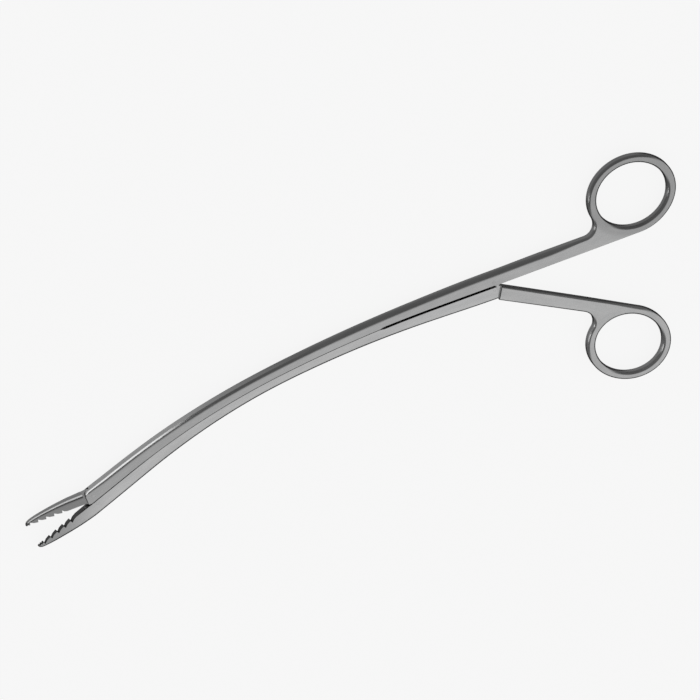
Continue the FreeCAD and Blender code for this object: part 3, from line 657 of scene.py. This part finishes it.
def build_lower():
    s_root = S_TIP - ROOT_D
    back = [V2(0.25, -5.55)] + [at(s, -h) for s, h in LOWER_H if 5 < s < s_root - 3] + [at(s_root, -cubic(LOWER_JAW_H, ROOT_D))]
    curve = np.array(smooth_curve(back, V2(-1, 0), -parting(s_root)[1], 0.5))

    def height(s):
        p, eu, ev = parting(s)
        if s <= 0.5:
            return 5.552
        rel = curve - p
        du, dv = rel @ eu, rel @ ev
        i = int(np.argmin(np.abs(du)))
        j = i + 1 if du[i] > 0 and i + 1 < len(du) else i - 1
        j = min(max(j, 0), len(du) - 1)
        if i == j or du[i] == du[j]:
            return -dv[i]
        t = du[i] / (du[i] - du[j])
        return -(dv[i] + (dv[j] - dv[i]) * min(1.0, max(0.0, t)))
    st = [-4.0, -3.2, -2.4, -1.6, -0.8, 0.0] + list(np.arange(0.9, 46.9, 0.8)) + list(np.arange(47.0, 50.0, 0.25)) + list(np.arange(50.0, s_root - 0.4, 0.8))
    rings = []
    for s in st:
        h, g = height(s), gap(s) - GAP_MID
        p, eu, ev = parting(s)
        rings.append([(*(p - ev * v), MIDZ + z) for v, z in section(g, h, T / 2, blend(s, 0.0, 60.0, 1.5, 1.9), 0.08, 0.07)])
    ds = [d for d in list(np.arange(3.5, ROOT_D, 0.5)) + [ROOT_D]][::-1] + JAW_D[::-1]
    rings += jaw_rings(LOWER_JAW_H, -1.0, 0.0, ds, lambda d: 0.15, lambda d: 0.12 if d < 20 else 0.07)
    ob = loft("lower_shaft_steel", rings)
    r = EAR_R + 0.22
    cuts = []
    cuts.append([slab([V2(1.05, 1.0), V2(1.05, -0.3), V2(0.1, -5.5), V2(-0.1, -6.6), V2(9, -6.6), V2(9, 1.0)], -1, T + 1),
                 tooth_cut(-1.0, 0.0, 2.65, 5, 0.15)])
    cuts.append([slab([E + V2(-2.45, 3.0), E + V2(-2.45, -0.6), V2(-1.75, -3.2), V2(-0.85, -5.9), V2(-0.85, -7.5), V2(4.5, -7.5),
                       E + V2(4.5, 3.0)], Z0, Z1),
                 slab([jp(-5.3, 2.5), jp(-5.3, 1.05), jp(-0.55 * r, -0.835 * r), jp(0, -r), jp(0.7 * r, -0.7 * r), jp(r, 0),
                       jp(2.2, 1.0), jp(2.2, 2.5)], Z0, Z1)])
    cuts.append([hole(J, HOLE_R), hole(E, HOLE_R)])
    necks, heads, entries = [], [], []
    for s in (150.0, 40.0):
        p, eu, ev = parting(s)
        rear, lowv, highv = 0.1918 + 0.2 + 0.85, -2.3, -1.1

        def box(u0, u1, v0, v1, half, p=p, eu=eu, ev=ev):
            return slab([p + eu * u0 + ev * v0, p + eu * u1 + ev * v0, p + eu * u1 + ev * v1, p + eu * u0 + ev * v1], MIDZ - half, MIDZ + half)
        necks.append(box(-4.6, rear, lowv + 0.2, 1.0, 0.85))
        heads.append(box(-4.6, rear + 0.7, lowv, highv, 1.55))
        entries.append(post(p - eu * 4.6, ev, lowv, 1.0, 1.55))
    cuts += [necks, heads, entries]
    carve(ob, cuts)
    return ob


def turned(pts, c, deg):
    a = RAD(deg)
    co, si = math.cos(a), math.sin(a)
    p = np.array(pts, float).copy()
    dx, dy = p[:, 0] - c[0], p[:, 1] - c[1]
    p[:, 0], p[:, 1] = c[0] + dx * co - dy * si, c[1] + dx * si + dy * co
    return p


def turned_shape(shape, c, deg):
    def f(verts, faces):
        n = len(verts)
        shape(verts, faces)
        new = turned([v for v in verts[n:]], c, deg)
        verts[n:] = [tuple(q) for q in new]
    return f


def unite(ob, shape):
    verts, faces = [], []
    shape(verts, faces)
    other = finish_mesh(ob.name + "_add", verts, faces)
    m = ob.modifiers.new("add", "BOOLEAN")
    m.operation, m.solver, m.object = "UNION", "EXACT", other
    dg = bpy.context.evaluated_depsgraph_get()
    me = bpy.data.meshes.new_from_object(ob.evaluated_get(dg))
    ob.modifiers.clear()
    old = ob.data
    ob.data = me
    bpy.data.meshes.remove(old)
    bpy.data.objects.remove(other)


def capsule(a, c, ra, rb, k=28):
    """Outline of two discs and their outer tangents."""
    d = c - a
    ang, ln = math.atan2(d[1], d[0]), float(np.linalg.norm(d))
    off = math.acos((ra - rb) / ln)
    pts = [a + ra * V2(math.cos(t), math.sin(t)) for t in np.linspace(ang + off, ang + 2 * math.pi - off, k)]
    pts += [c + rb * V2(math.cos(t), math.sin(t)) for t in np.linspace(ang - off, ang + off, k)]
    return pts


def slot_hole(c, direction, r, extra, k=20):
    d = direction / np.linalg.norm(direction)
    return slab(capsule(c - d * extra, c + d * extra, r, r, k), -1, T + 1)


def build_jaw():
    d_rear = S_TIP + JAW_EXTRA - (S_PIVOT + JAW_BACK)
    ds = JAW_D + list(np.arange(3.5, d_rear - 0.2, 0.5)) + [d_rear]
    rings = jaw_rings(JAW_H, 1.0, JAW_EXTRA, ds[::-1], lambda d: 0.15, lambda d: 0.1)
    ob = loft("upper_jaw_steel", rings)
    up = 1.35
    lean = math.tan(RAD(4.0))
    jaw_open = 4.0 * 18.0 / 22.0
    jmid, jspan = (18.0 - jaw_open) / 2.0, (18.0 + jaw_open) / 2.0
    arm = (1.0679 + 0.1918) / (2.0 * math.sin(RAD(jspan)))
    dshut = J + (JEU * -math.sin(RAD(18.0 - jmid)) + JEV * math.cos(RAD(18.0 - jmid))) * arm
    r = EAR_R
    carve(ob, [[tooth_cut(1.0, JAW_EXTRA, 1.7, 5, 0.15)],
               [slab([jp(-4.5, up - 1.0), jp(-4.5, up), jp(-4.5 - 8.0 * lean, up + 8.0), jp(3.0, up + 8.0), jp(3.0, up - 1.0)], -1, T + 1)]])
    unite(ob, slab([jp(-7.2, up + 0.4), jp(-7.2, up + 4.0), jp(-4.7, up + 4.66), jp(-1.7, up + 4.85), dshut + JEV * r + JEU * 0.3, dshut, J,
                    jp(-0.55 * r, -0.835 * r), jp(-5.0, up + 0.17)], T0, T1))
    unite(ob, slab(capsule(dshut, J, r, r), T0 + 0.02, T1 - 0.02))
    carve(ob, [[hole(J, 0.8)], [slot_hole(dshut, dshut - J, 0.85, 0.25)]])
    me = ob.data
    co = np.zeros(len(me.vertices) * 3)
    me.vertices.foreach_get("co", co)
    co = co.reshape(-1, 3)
    c = (V2(J[0] + OX, J[1] + OY)) * 0.001
    co = turned(co, c, -18.0)
    me.vertices.foreach_set("co", co.ravel())
    me.update()
    return ob


LEVER_BOT = -5.25


def build_lever():
    n = V2(math.sin(RAD(28.55)), math.cos(RAD(28.55)))
    d = V2(n[1], -n[0])
    top = V2(2.82, -1.72)
    top = top + n * (0.40 - float(top @ n))
    bot = d * float(top @ d) + n * LEVER_BOT

    def side(t):
        p, m = ell(LOW_RING, LOW_OUT, LOW_ANG, t)
        return float((p - top) @ m)
    t_in = solve(side, RAD(40), RAD(110))
    p_tan = ell(LOW_RING, LOW_OUT, LOW_ANG, t_in)[0]

    def neck(t):
        return float(ell(LOW_RING, LOW_OUT, LOW_ANG, t, LOW_NECK)[0] @ n) - (LEVER_BOT - LOW_NECK)
    t_neck = solve(neck, RAD(125), RAD(185))
    c_neck = ell(LOW_RING, LOW_OUT, LOW_ANG, t_neck, LOW_NECK)[0]
    p_neck = ell(LOW_RING, LOW_OUT, LOW_ANG, t_neck)[0]
    foot = c_neck + n * LOW_NECK
    length = float(np.linalg.norm(p_tan - top))
    o = Outline()
    edge = line(top, p_tan, 0.9)
    o.add(edge, lambda m: blend(float((m - top) @ d), 0.75 * length, length, 0.8, 1.3),
          lambda m: blend(float((m - top) @ d), 0.55 * length, length, 0.12, 1.35))
    ring = [ell(LOW_RING, LOW_OUT, LOW_ANG, t)[0] for t in np.linspace(t_in, t_neck - 2 * math.pi, 180)]
    o.add(ring, 1.3, 1.35)
    a0 = math.atan2(p_neck[1] - c_neck[1], p_neck[0] - c_neck[0])
    a1 = math.atan2(n[1], n[0])
    if a1 < a0 - math.pi:
        a1 += 2 * math.pi
    if a1 > a0 + math.pi:
        a1 -= 2 * math.pi
    pts = arc(c_neck, LOW_NECK, a0, a1, 0.35)
    pts[0], pts[-1] = p_neck, foot
    o.add(pts, 1.25, 1.35)
    o.add(line(foot, bot, 0.9), lambda m: blend(float((m - bot) @ d), 0.0, 20.0, 1.0, 1.25), 1.3)
    o.add([bot, top], 0.1, 0.1, 0.0)
    h = Outline()
    h.add([ell(LOW_RING, LOW_IN, LOW_ANG, t)[0] for t in np.linspace(0, 2 * math.pi, 151)], 1.5, 1.55)
    far = falloff([o, h], lambda x, y: 5.0 if float(V2(x, y) @ d) < 34 else 1.9, 1.0)

    def drop(x, y):
        return 0.05 * far(x, y) if float(V2(x, y) @ d) > 5 else 0.05 * far(x, y) * max(0.0, (float(V2(x, y) @ d) - 2.0) / 3.0)
    ob = forging("ring_lever_steel", o, [h], 0.95, drop)
    r = EAR_R
    unite(ob, slab([K, K + V2(1.3, -0.78), K + V2(1.8, -2.45), top + d * 1.2 - n * 0.25, bot + d * 1.2 + n * 0.45, bot - d * 0.9 + n * 0.45,
                    E + V2(-1.09, -1.09), E], T0, T1))
    unite(ob, slab(capsule(K, E, r, r), T0 + 0.02, T1 - 0.02))
    carve(ob, [[hole(K, 0.8)], [slot_hole(E, E - K, 0.85, 0.2)]])
    return ob


# ---------------------------------------------------------------- where the grain runs
LINE_S = np.arange(-80.0, 216.0, 0.25)
LINE = np.array([(*parting(s)[0], *parting(s)[1], *parting(s)[2]) for s in LINE_S])


def along_line(xy):
    """Station along the parting line and height over it, for points of the shaft frame."""
    s, v = np.zeros(len(xy)), np.zeros(len(xy))
    for k in range(0, len(xy), 4000):
        q = xy[k:k + 4000]
        d = q[:, None, :] - LINE[None, :, 0:2]
        du = np.abs((d * LINE[None, :, 2:4]).sum(axis=2)) + np.linalg.norm(d, axis=2) * 0.02
        i = np.argmin(du, axis=1)
        e = q - LINE[i, 0:2]
        s[k:k + 4000] = LINE_S[i] - (e * LINE[i, 2:4]).sum(axis=1)
        v[k:k + 4000] = (e * LINE[i, 4:6]).sum(axis=1)
    return s, v


LEVER_N = V2(math.sin(RAD(28.55)), math.cos(RAD(28.55)))
LEVER_D = V2(LEVER_N[1], -LEVER_N[0])


def mark(ob, kind):
    """Stores where the grain runs, how far a point belongs to a ring, and how sharp its edge is."""
    me = ob.data
    n = len(me.vertices)
    co = np.zeros(n * 3)
    me.vertices.foreach_get("co", co)
    co = co.reshape(-1, 3) * 1000.0
    co[:, 0] -= OX
    co[:, 1] -= OY
    bar = np.zeros((n, 3))
    eye = np.zeros((n, 3))
    share = np.zeros(n)
    if kind in ("upper", "lower", "jaw"):
        xy = turned(co, J, 18.0)[:, :2] if kind == "jaw" else co[:, :2]
        bar[:, 0], bar[:, 1] = along_line(xy)
    else:
        bar[:, 0], bar[:, 1] = co[:, :2] @ LEVER_D, co[:, :2] @ LEVER_N
    bar[:, 2] = co[:, 2]
    if kind in ("upper", "lever"):
        c, ab, ang = (UP_RING, UP_OUT, UP_ANG) if kind == "upper" else (LOW_RING, LOW_OUT, LOW_ANG)
        d = co[:, :2] - V2(*c)
        co_, si_ = math.cos(RAD(ang)), math.sin(RAD(ang))
        lx, ly = d[:, 0] * co_ + d[:, 1] * si_, -d[:, 0] * si_ + d[:, 1] * co_
        rho = np.hypot(lx / ab[0], ly / ab[1])
        a = np.arctan2(ly / ab[1], lx / ab[0])
        eye[:, 0], eye[:, 1] = np.cos(a) * 16.0, np.sin(a) * 16.0
        eye[:, 2] = rho * 16.0 + co[:, 2] * 1.3
        share = np.clip((1.06 - rho) / 0.07, 0.0, 1.0)
    sharp = np.zeros(n)
    bm = bmesh.new()
    bm.from_mesh(me)
    for e in bm.edges:
        if len(e.link_faces) != 2:
            continue
        f, g = e.link_faces
        t = f.normal.angle(g.normal, 0.0)
        if t < 0.02 or t > 0.6:
            continue
        cf, cg = f.calc_center_median(), g.calc_center_median()
        if (cg - cf).dot(f.normal) > 0:
            continue
        u = (e.verts[1].co - e.verts[0].co).normalized()
        w = cg - cf
        w = (w - u * w.dot(u)).length * 1000.0
        k = t / max(w, 0.004)
        for q in e.verts:
            sharp[q.index] = max(sharp[q.index], k)
    bm.free()
    edge = np.clip((sharp - 0.9) / 5.0, 0.0, 1.0)
    for name, data in (("bar", bar), ("eye", eye)):
        at_ = me.attributes.new(name, "FLOAT_VECTOR", "POINT")
        at_.data.foreach_set("vector", data.astype(np.float32).ravel())
    for name, data in (("share", share), ("edge", edge)):
        at_ = me.attributes.new(name, "FLOAT", "POINT")
        at_.data.foreach_set("value", data.astype(np.float32))


# ---------------------------------------------------------------- brushed, satin-ground steel
def steel(name, base, rough, seed, tint=1.006, marked=True, painted_shade_along_bar=None, ring_painted_shade=1.0):
    m = bpy.data.materials.new(name)
    m.use_nodes = True
    nt = m.node_tree
    p = nt.nodes["Principled BSDF"]
    p.inputs["Metallic"].default_value = 1.0

    def node(kind, **kw):
        q = nt.nodes.new(kind)
        for k, v in kw.items():
            setattr(q, k, v)
        return q

    def put(sock, v):
        if isinstance(v, (int, float)):
            sock.default_value = v
        elif isinstance(v, tuple):
            sock.default_value = v
        else:
            nt.links.new(v, sock)

    def calc(op, a, b_=0.0, c_=0.0, clamp=False):
        q = node("ShaderNodeMath", operation=op, use_clamp=clamp)
        put(q.inputs[0], a)
        put(q.inputs[1], b_)
        if op == "MULTIPLY_ADD":
            put(q.inputs[2], c_)
        return q.outputs[0]

    def vec(op, a, b_):
        q = node("ShaderNodeVectorMath", operation=op)
        put(q.inputs[0], a)
        put(q.inputs[1], b_)
        return q.outputs["Vector"]

    def noise(where, stretch, detail, rough_, shift):
        q = node("ShaderNodeTexNoise")
        put(q.inputs["Vector"], vec("ADD", vec("MULTIPLY", where, stretch), (shift, shift * 1.7, -shift)))
        q.inputs["Scale"].default_value = 1.0
        q.inputs["Detail"].default_value = detail
        q.inputs["Roughness"].default_value = rough_
        return q.outputs["Fac"]

    def both(stretch_bar, stretch_eye, detail, rough_, shift):
        """Noise along the bars, and round the rings where a point belongs to one."""
        if not marked:
            return noise(bar, stretch_bar, detail, rough_, shift)
        mix = node("ShaderNodeMix", data_type="FLOAT")
        put(mix.inputs["Factor"], share)
        put(mix.inputs["A"], noise(bar, stretch_bar, detail, rough_, shift))
        put(mix.inputs["B"], noise(eye, stretch_eye, detail, rough_, shift))
        return mix.outputs["Result"]

    if marked:
        bar = node("ShaderNodeAttribute", attribute_name="bar").outputs["Vector"]
        eye = node("ShaderNodeAttribute", attribute_name="eye").outputs["Vector"]
        share = node("ShaderNodeAttribute", attribute_name="share").outputs["Fac"]
        edge = node("ShaderNodeAttribute", attribute_name="edge").outputs["Fac"]
    else:
        tc = node("ShaderNodeTexCoord").outputs["Object"]
        bar = vec("MULTIPLY", tc, (1000.0, 1000.0, 1000.0))
        edge = None
    brush = both((0.16, 3.4, 3.4), (0.16, 0.16, 3.4), 4.0, 0.65, seed)
    fine = both((0.5, 9.0, 9.0), (0.5, 0.5, 9.0), 3.0, 0.7, seed + 3.1)
    grit = both((2.6, 2.6, 2.6), (2.6, 2.6, 2.6), 3.0, 0.75, seed + 7.7)
    cloud = both((0.05, 0.22, 0.22), (0.09, 0.09, 0.22), 3.0, 0.55, seed + 11.3)
    smear = both((0.22, 0.6, 0.6), (0.22, 0.22, 0.6), 4.0, 0.6, seed + 19.9)
    scr = both((0.13, 5.0, 5.0), (0.13, 0.13, 5.0), 2.0, 0.5, seed + 27.0)
    scratch = node("ShaderNodeMapRange", interpolation_type="SMOOTHSTEP")
    put(scratch.inputs["Value"], scr)
    scratch.inputs["From Min"].default_value = 0.63
    scratch.inputs["From Max"].default_value = 0.70
    scratch = scratch.outputs["Result"]

    # brightness of the metal: base times small swings of each kind of mark
    k = calc("MULTIPLY_ADD", brush, 0.16, 0.92)
    k = calc("MULTIPLY", k, calc("MULTIPLY_ADD", fine, 0.16, 0.92))
    k = calc("MULTIPLY", k, calc("MULTIPLY_ADD", grit, 0.26, 0.87))
    k = calc("MULTIPLY", k, calc("MULTIPLY_ADD", cloud, 0.30, 0.85))
    k = calc("MULTIPLY", k, calc("MULTIPLY_ADD", smear, 0.14, 0.93))
    k = calc("MULTIPLY", k, calc("MULTIPLY_ADD", scratch, 0.07, 1.0))
    if edge is not None:
        k = calc("MULTIPLY", k, calc("MULTIPLY_ADD", edge, 0.16, 1.0))
    # painted shade: the metal darkens smoothly along the bar's station over the span given with the material,
    # standing in for shade on the upper shaft's front part and on the lower jaw towards its tip
    if painted_shade_along_bar:
        sep = node("ShaderNodeSeparateXYZ")
        put(sep.inputs[0], bar)
        f = node("ShaderNodeMapRange", interpolation_type="SMOOTHSTEP")
        put(f.inputs["Value"], sep.outputs["X"])
        for key, v in zip(("From Min", "From Max", "To Min", "To Max"), painted_shade_along_bar):
            f.inputs[key].default_value = v
        k = calc("MULTIPLY", k, f.outputs["Result"])
    # painted shade: points that belong to a ring are made darker by the given share
    if ring_painted_shade != 1.0:
        k = calc("MULTIPLY", k, calc("MULTIPLY_ADD", share, ring_painted_shade - 1.0, 1.0))
    colour = node("ShaderNodeMix", data_type="RGBA", blend_type="MIX")
    put(colour.inputs["Factor"], calc("MULTIPLY_ADD", smear, 1.6, -0.4, clamp=True))
    put(colour.inputs["A"], (base / tint, base, base * tint, 1.0))
    put(colour.inputs["B"], (base * 1.004, base, base / tint, 1.0))
    scaled = node("ShaderNodeVectorMath", operation="SCALE")
    put(scaled.inputs[0], colour.outputs["Result"])
    put(scaled.inputs["Scale"], k)
    put(p.inputs["Base Color"], scaled.outputs["Vector"])

    r = calc("MULTIPLY_ADD", brush, 0.10, rough - 0.05)
    r = calc("ADD", r, calc("MULTIPLY_ADD", grit, 0.12, -0.06))
    r = calc("ADD", r, calc("MULTIPLY_ADD", cloud, 0.14, -0.07))
    r = calc("ADD", r, calc("MULTIPLY", scratch, 0.05))
    if edge is not None:
        r = calc("ADD", r, calc("MULTIPLY", edge, -0.06))
    put(p.inputs["Roughness"], calc("MAXIMUM", r, 0.08))

    h = calc("MULTIPLY", brush, 0.5)
    h = calc("MULTIPLY_ADD", fine, 0.35, h)
    h = calc("MULTIPLY_ADD", grit, 0.35, h)
    h = calc("MULTIPLY_ADD", scratch, -0.4, h)
    bump = node("ShaderNodeBump")
    bump.inputs["Strength"].default_value = 0.35
    bump.inputs["Distance"].default_value = 0.00002
    put(bump.inputs["Height"], h)
    put(p.inputs["Normal"], bump.outputs["Normal"])
    return m


# The four pieces are one steel. Their bases differ as painted shade for how their faces lean to the light: the upper
# jaw (0.29) and upper shaft (0.52) are darker, the ring lever (0.57) and lower shaft (0.61) lighter.
STEELS = {
    "upper_shaft": steel("steel_upper_shaft", 0.52, 0.2, 1.3, painted_shade_along_bar=(60.0, 178.0, 1.0, 0.86), ring_painted_shade=0.80),
    "lower_shaft": steel("steel_lower_shaft", 0.61, 0.22, 14.2, painted_shade_along_bar=(178.0, 206.0, 1.0, 0.62)),
    "upper_jaw": steel("steel_upper_jaw", 0.29, 0.18, 31.7),
    "ring_lever": steel("steel_ring_lever", 0.57, 0.2, 52.9, ring_painted_shade=0.96),
}
# near-black steel: painted shade for the recesses, gaps and faces at the joints
PAINTED_SHADE_STEEL = steel("steel_painted_shade_faces", 0.05, 0.42, 71.3)
PIN_STEEL = {"jaw_pivot_pin": steel("rivet_steel_light", 0.60, 0.25, 3.3, marked=False),
             "jaw_drive_pin": steel("rivet_steel_dark", 0.50, 0.25, 8.1, marked=False)}
PIN_STEEL["lever_drive_pin"] = PIN_STEEL["jaw_pivot_pin"]
PIN_STEEL["lever_pivot_pin"] = PIN_STEEL["jaw_drive_pin"]
STUD_STEEL = steel("stud_steel", 0.58, 0.2, 5.0, marked=False)
for name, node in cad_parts.items():
    node.data.materials.clear()
    node.data.materials.append(PIN_STEEL.get(name, STUD_STEEL))

def painted_shade_faces(ob, kind):
    """Mating faces, slot walls, the toothed grips, the gap ledge and the faces beside the joints get a near-black
    steel: painted shade for the shadow in these recesses and gaps.
    """
    me = ob.data
    n = len(me.polygons)
    mid, nor = np.zeros(n * 3), np.zeros(n * 3)
    me.polygons.foreach_get("center", mid)
    me.polygons.foreach_get("normal", nor)
    mid, nor = mid.reshape(-1, 3) * 1000.0, nor.reshape(-1, 3)
    mid[:, 0] -= OX
    mid[:, 1] -= OY
    if kind == "jaw":
        mid = turned(mid, J, 18.0)
        nor = turned(nor, (0, 0), 18.0)
    s, v = along_line(mid[:, :2])
    ev = LINE[np.clip(np.round((s + 80.0) / 0.25).astype(int), 0, len(LINE) - 1), 4:6]
    out = (nor[:, :2] * ev).sum(axis=1)
    eu = LINE[np.clip(np.round((s + 80.0) / 0.25).astype(int), 0, len(LINE) - 1), 2:4]
    along = (nor[:, :2] * eu).sum(axis=1)
    upright = np.abs(nor[:, 2]) < 0.6
    side = {"upper": -1.0, "jaw": -1.0, "lower": 1.0, "lever": 0.0}[kind]
    grip = (s > 186.0) & (np.abs(v) < 1.35) & upright & (out * side > -0.35) & (np.abs(v) > 0.02)
    back = (s > 205.0) & (np.abs(v) > 0.02) & (out * side < 0.05)
    mate = (s > -0.7) & (s < 187.0) & (np.abs(v) < 0.75) & (out * side > 0.6)
    if kind == "lever":
        chosen = (mid[:, :2] @ LEVER_D < 3.6) & (nor[:, :2] @ LEVER_D < -0.6) & (np.abs(mid[:, 2] - MIDZ) > 1.05)
    elif kind == "jaw":
        chosen = (grip & ~back) | (upright & (along > 0.7) & (s < 190.0))
    elif kind == "upper":
        ledge = (s > 0.0) & (s < 175.0) & (np.abs(v) < 0.75) & (mid[:, 2] < 2.0) & (nor[:, 2] > 0.7)
        chosen = mate | ledge | (upright & (along < -0.7) & (s > 182.0) & (v < 3.7))
    else:
        chosen = mate | (grip & ~back)
    # the chosen faces take the second material, the near-black painted shade steel
    me.polygons.foreach_set("material_index", chosen.astype(np.int32))


# ---------------------------------------------------------------- put the pieces on their bodies
BUILD = (("upper_shaft", build_upper, "upper", "upper_half"), ("lower_shaft", build_lower, "lower", "lower_half"),
         ("upper_jaw", build_jaw, "jaw", "jaw"), ("ring_lever", build_lever, "lever", "lever"))
for node_name, make, kind, body in BUILD:
    ob = make()
    mark(ob, kind)
    ob.data.materials.clear()
    ob.data.materials.append(STEELS[node_name])
    ob.data.materials.append(PAINTED_SHADE_STEEL)
    for poly in ob.data.polygons:
        poly.use_smooth = True
    painted_shade_faces(ob, kind)
    ob.data.set_sharp_from_angle(angle=RAD(31))
    wn = ob.modifiers.new("flat_sides", "WEIGHTED_NORMAL")
    wn.keep_sharp = True
    wn.weight = 50
    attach(ob, body)
    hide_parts(node_name)
    print(node_name, len(ob.data.vertices), "points")


# ---------------------------------------------------------------- studio
bpy.ops.mesh.primitive_plane_add(size=6.0, location=(0, 0, -0.0002))
floor = bpy.context.object
floor.name = "floor"
fm = bpy.data.materials.new("pale_floor")
fm.use_nodes = True
fp = fm.node_tree.nodes["Principled BSDF"]
fp.inputs["Base Color"].default_value = (0.09, 0.09, 0.09, 1)
fp.inputs["Roughness"].default_value = 0.9
fp.inputs["Specular IOR Level"].default_value = 0.0
fp.inputs["Emission Color"].default_value = (1, 1, 1, 1)
fp.inputs["Emission Strength"].default_value = 0.886
floor.data.materials.append(fm)
floor.visible_glossy = False
floor.visible_diffuse = False

# two cards that stand to the left of the jaws: a bright one, and a dim one under and beside it
def card(name, p, q, z0, z1, strength_p, strength_q):
    me = bpy.data.meshes.new(name)
    me.from_pydata([(p.x, p.y, z0), (q.x, q.y, z0), (q.x, q.y, z1), (p.x, p.y, z1)], [], [(0, 1, 2, 3)])
    ob = bpy.data.objects.new(name, me)
    scene.collection.objects.link(ob)
    m = bpy.data.materials.new(name + "_light")
    m.use_nodes = True
    nt = m.node_tree
    nt.nodes.remove(nt.nodes["Principled BSDF"])
    glow = nt.nodes.new("ShaderNodeEmission")
    near_p = me.attributes.new("glow", "FLOAT", "POINT")
    near_p.data.foreach_set("value", np.array([strength_p, strength_q, strength_q, strength_p], np.float32))
    a = nt.nodes.new("ShaderNodeAttribute")
    a.attribute_name = "glow"
    nt.links.new(a.outputs["Fac"], glow.inputs["Strength"])
    nt.links.new(glow.outputs[0], nt.nodes["Material Output"].inputs["Surface"])
    me.materials.append(m)
    ob.visible_camera = False
    ob.visible_diffuse = False
    ob.visible_shadow = False
    return ob


CARD_P, CARD_Q, CARD_R = flat_point(54.0, 237.0), flat_point(-250.0, 420.0), flat_point(230.0, 160.0)
card("bright_card", CARD_P, CARD_Q, 0.028, 0.10, 1.9, 1.9)
card("dim_card_left", CARD_P, CARD_Q, -0.40, 0.028, 0.55, 0.55)
card("dim_card_right", CARD_R, CARD_P, -0.40, 0.028, 0.2, 0.55)

world = bpy.data.worlds.new("studio")
scene.world = world
world.use_nodes = True
wt = world.node_tree
bg = wt.nodes["Background"]
bg.inputs["Strength"].default_value = 1.0


def wnode(kind, **kw):
    n = wt.nodes.new(kind)
    for k, v in kw.items():
        setattr(n, k, v)
    return n


def wmath(op, a, c=None, clamp=False):
    n = wnode("ShaderNodeMath", operation=op, use_clamp=clamp)
    for i, v in enumerate((a, c)):
        if v is None:
            continue
        if isinstance(v, (int, float)):
            n.inputs[i].default_value = v
        else:
            wt.links.new(v, n.inputs[i])
    return n.outputs[0]


sky = wnode("ShaderNodeTexCoord").outputs["Generated"]
parts = wnode("ShaderNodeSeparateXYZ")
wt.links.new(sky, parts.inputs[0])
flat_xy = wnode("ShaderNodeVectorMath", operation="MULTIPLY")
wt.links.new(sky, flat_xy.inputs[0])
flat_xy.inputs[1].default_value = (1.0, 1.0, 0.0)
heading = wnode("ShaderNodeVectorMath", operation="NORMALIZE")
wt.links.new(flat_xy.outputs["Vector"], heading.inputs[0])


def sector(az, half, soft):
    """Share of a compass sector: full inside half degrees of az, gone soft degrees further out."""
    n = wnode("ShaderNodeVectorMath", operation="DOT_PRODUCT")
    wt.links.new(heading.outputs["Vector"], n.inputs[0])
    a = RAD(az) - ROLL
    n.inputs[1].default_value = (math.cos(a), math.sin(a), 0.0)
    m = wnode("ShaderNodeMapRange", interpolation_type="SMOOTHSTEP")
    wt.links.new(n.outputs["Value"], m.inputs["Value"])
    m.inputs["From Min"].default_value = math.cos(RAD(half + soft))
    m.inputs["From Max"].default_value = math.cos(RAD(half - soft))
    return m.outputs["Result"]


def by_height(stops):
    """Light as a function of the direction's height: stops of (z, light)."""
    n = wnode("ShaderNodeValToRGB")
    r = n.color_ramp
    r.interpolation = "LINEAR"
    while len(r.elements) > 1:
        r.elements.remove(r.elements[-1])
    for i, (z, v) in enumerate(stops):
        e = r.elements[0] if i == 0 else r.elements.new((z + 1) / 2)
        e.position = (z + 1) / 2
        e.color = (v / 2, v / 2, v / 2, 1)
    wt.links.new(wmath("MULTIPLY_ADD", parts.outputs["Z"], 0.5), n.inputs["Fac"])
    n.inputs["Fac"].links[0].from_node.inputs[2].default_value = 0.5
    return wmath("MULTIPLY", n.outputs["Color"], 2.0)


SKY_FAR = [(-1, 0.22), (-0.8, 0.22), (-0.5, 0.17), (0.3, 0.14), (0.87, 0.13), (0.95, 0.27), (0.985, 0.6), (1, 0.7)]
SKY_LEFT = [(-1, 0.24), (-0.6, 0.2), (0.2, 0.18), (0.5, 0.16), (0.87, 0.14), (0.95, 0.3), (0.985, 0.6), (1, 0.7)]
SKY_NEAR = [(-1, 0.06), (-0.9, 0.03), (-0.1, 0.03), (0.0, 0.10), (0.15, 0.70), (0.9, 0.72), (1, 0.72)]
left = sector(162, 44, 20)
near = sector(-45, 94, 14)
far = wmath("SUBTRACT", wmath("SUBTRACT", 1.0, left), near, clamp=True)
light = wmath("MULTIPLY", by_height(SKY_FAR), far)
light = wmath("ADD", light, wmath("MULTIPLY", by_height(SKY_LEFT), left))
light = wmath("ADD", light, wmath("MULTIPLY", by_height(SKY_NEAR), near))
wt.links.new(light, bg.inputs["Color"])

scene.view_settings.view_transform = "Standard"
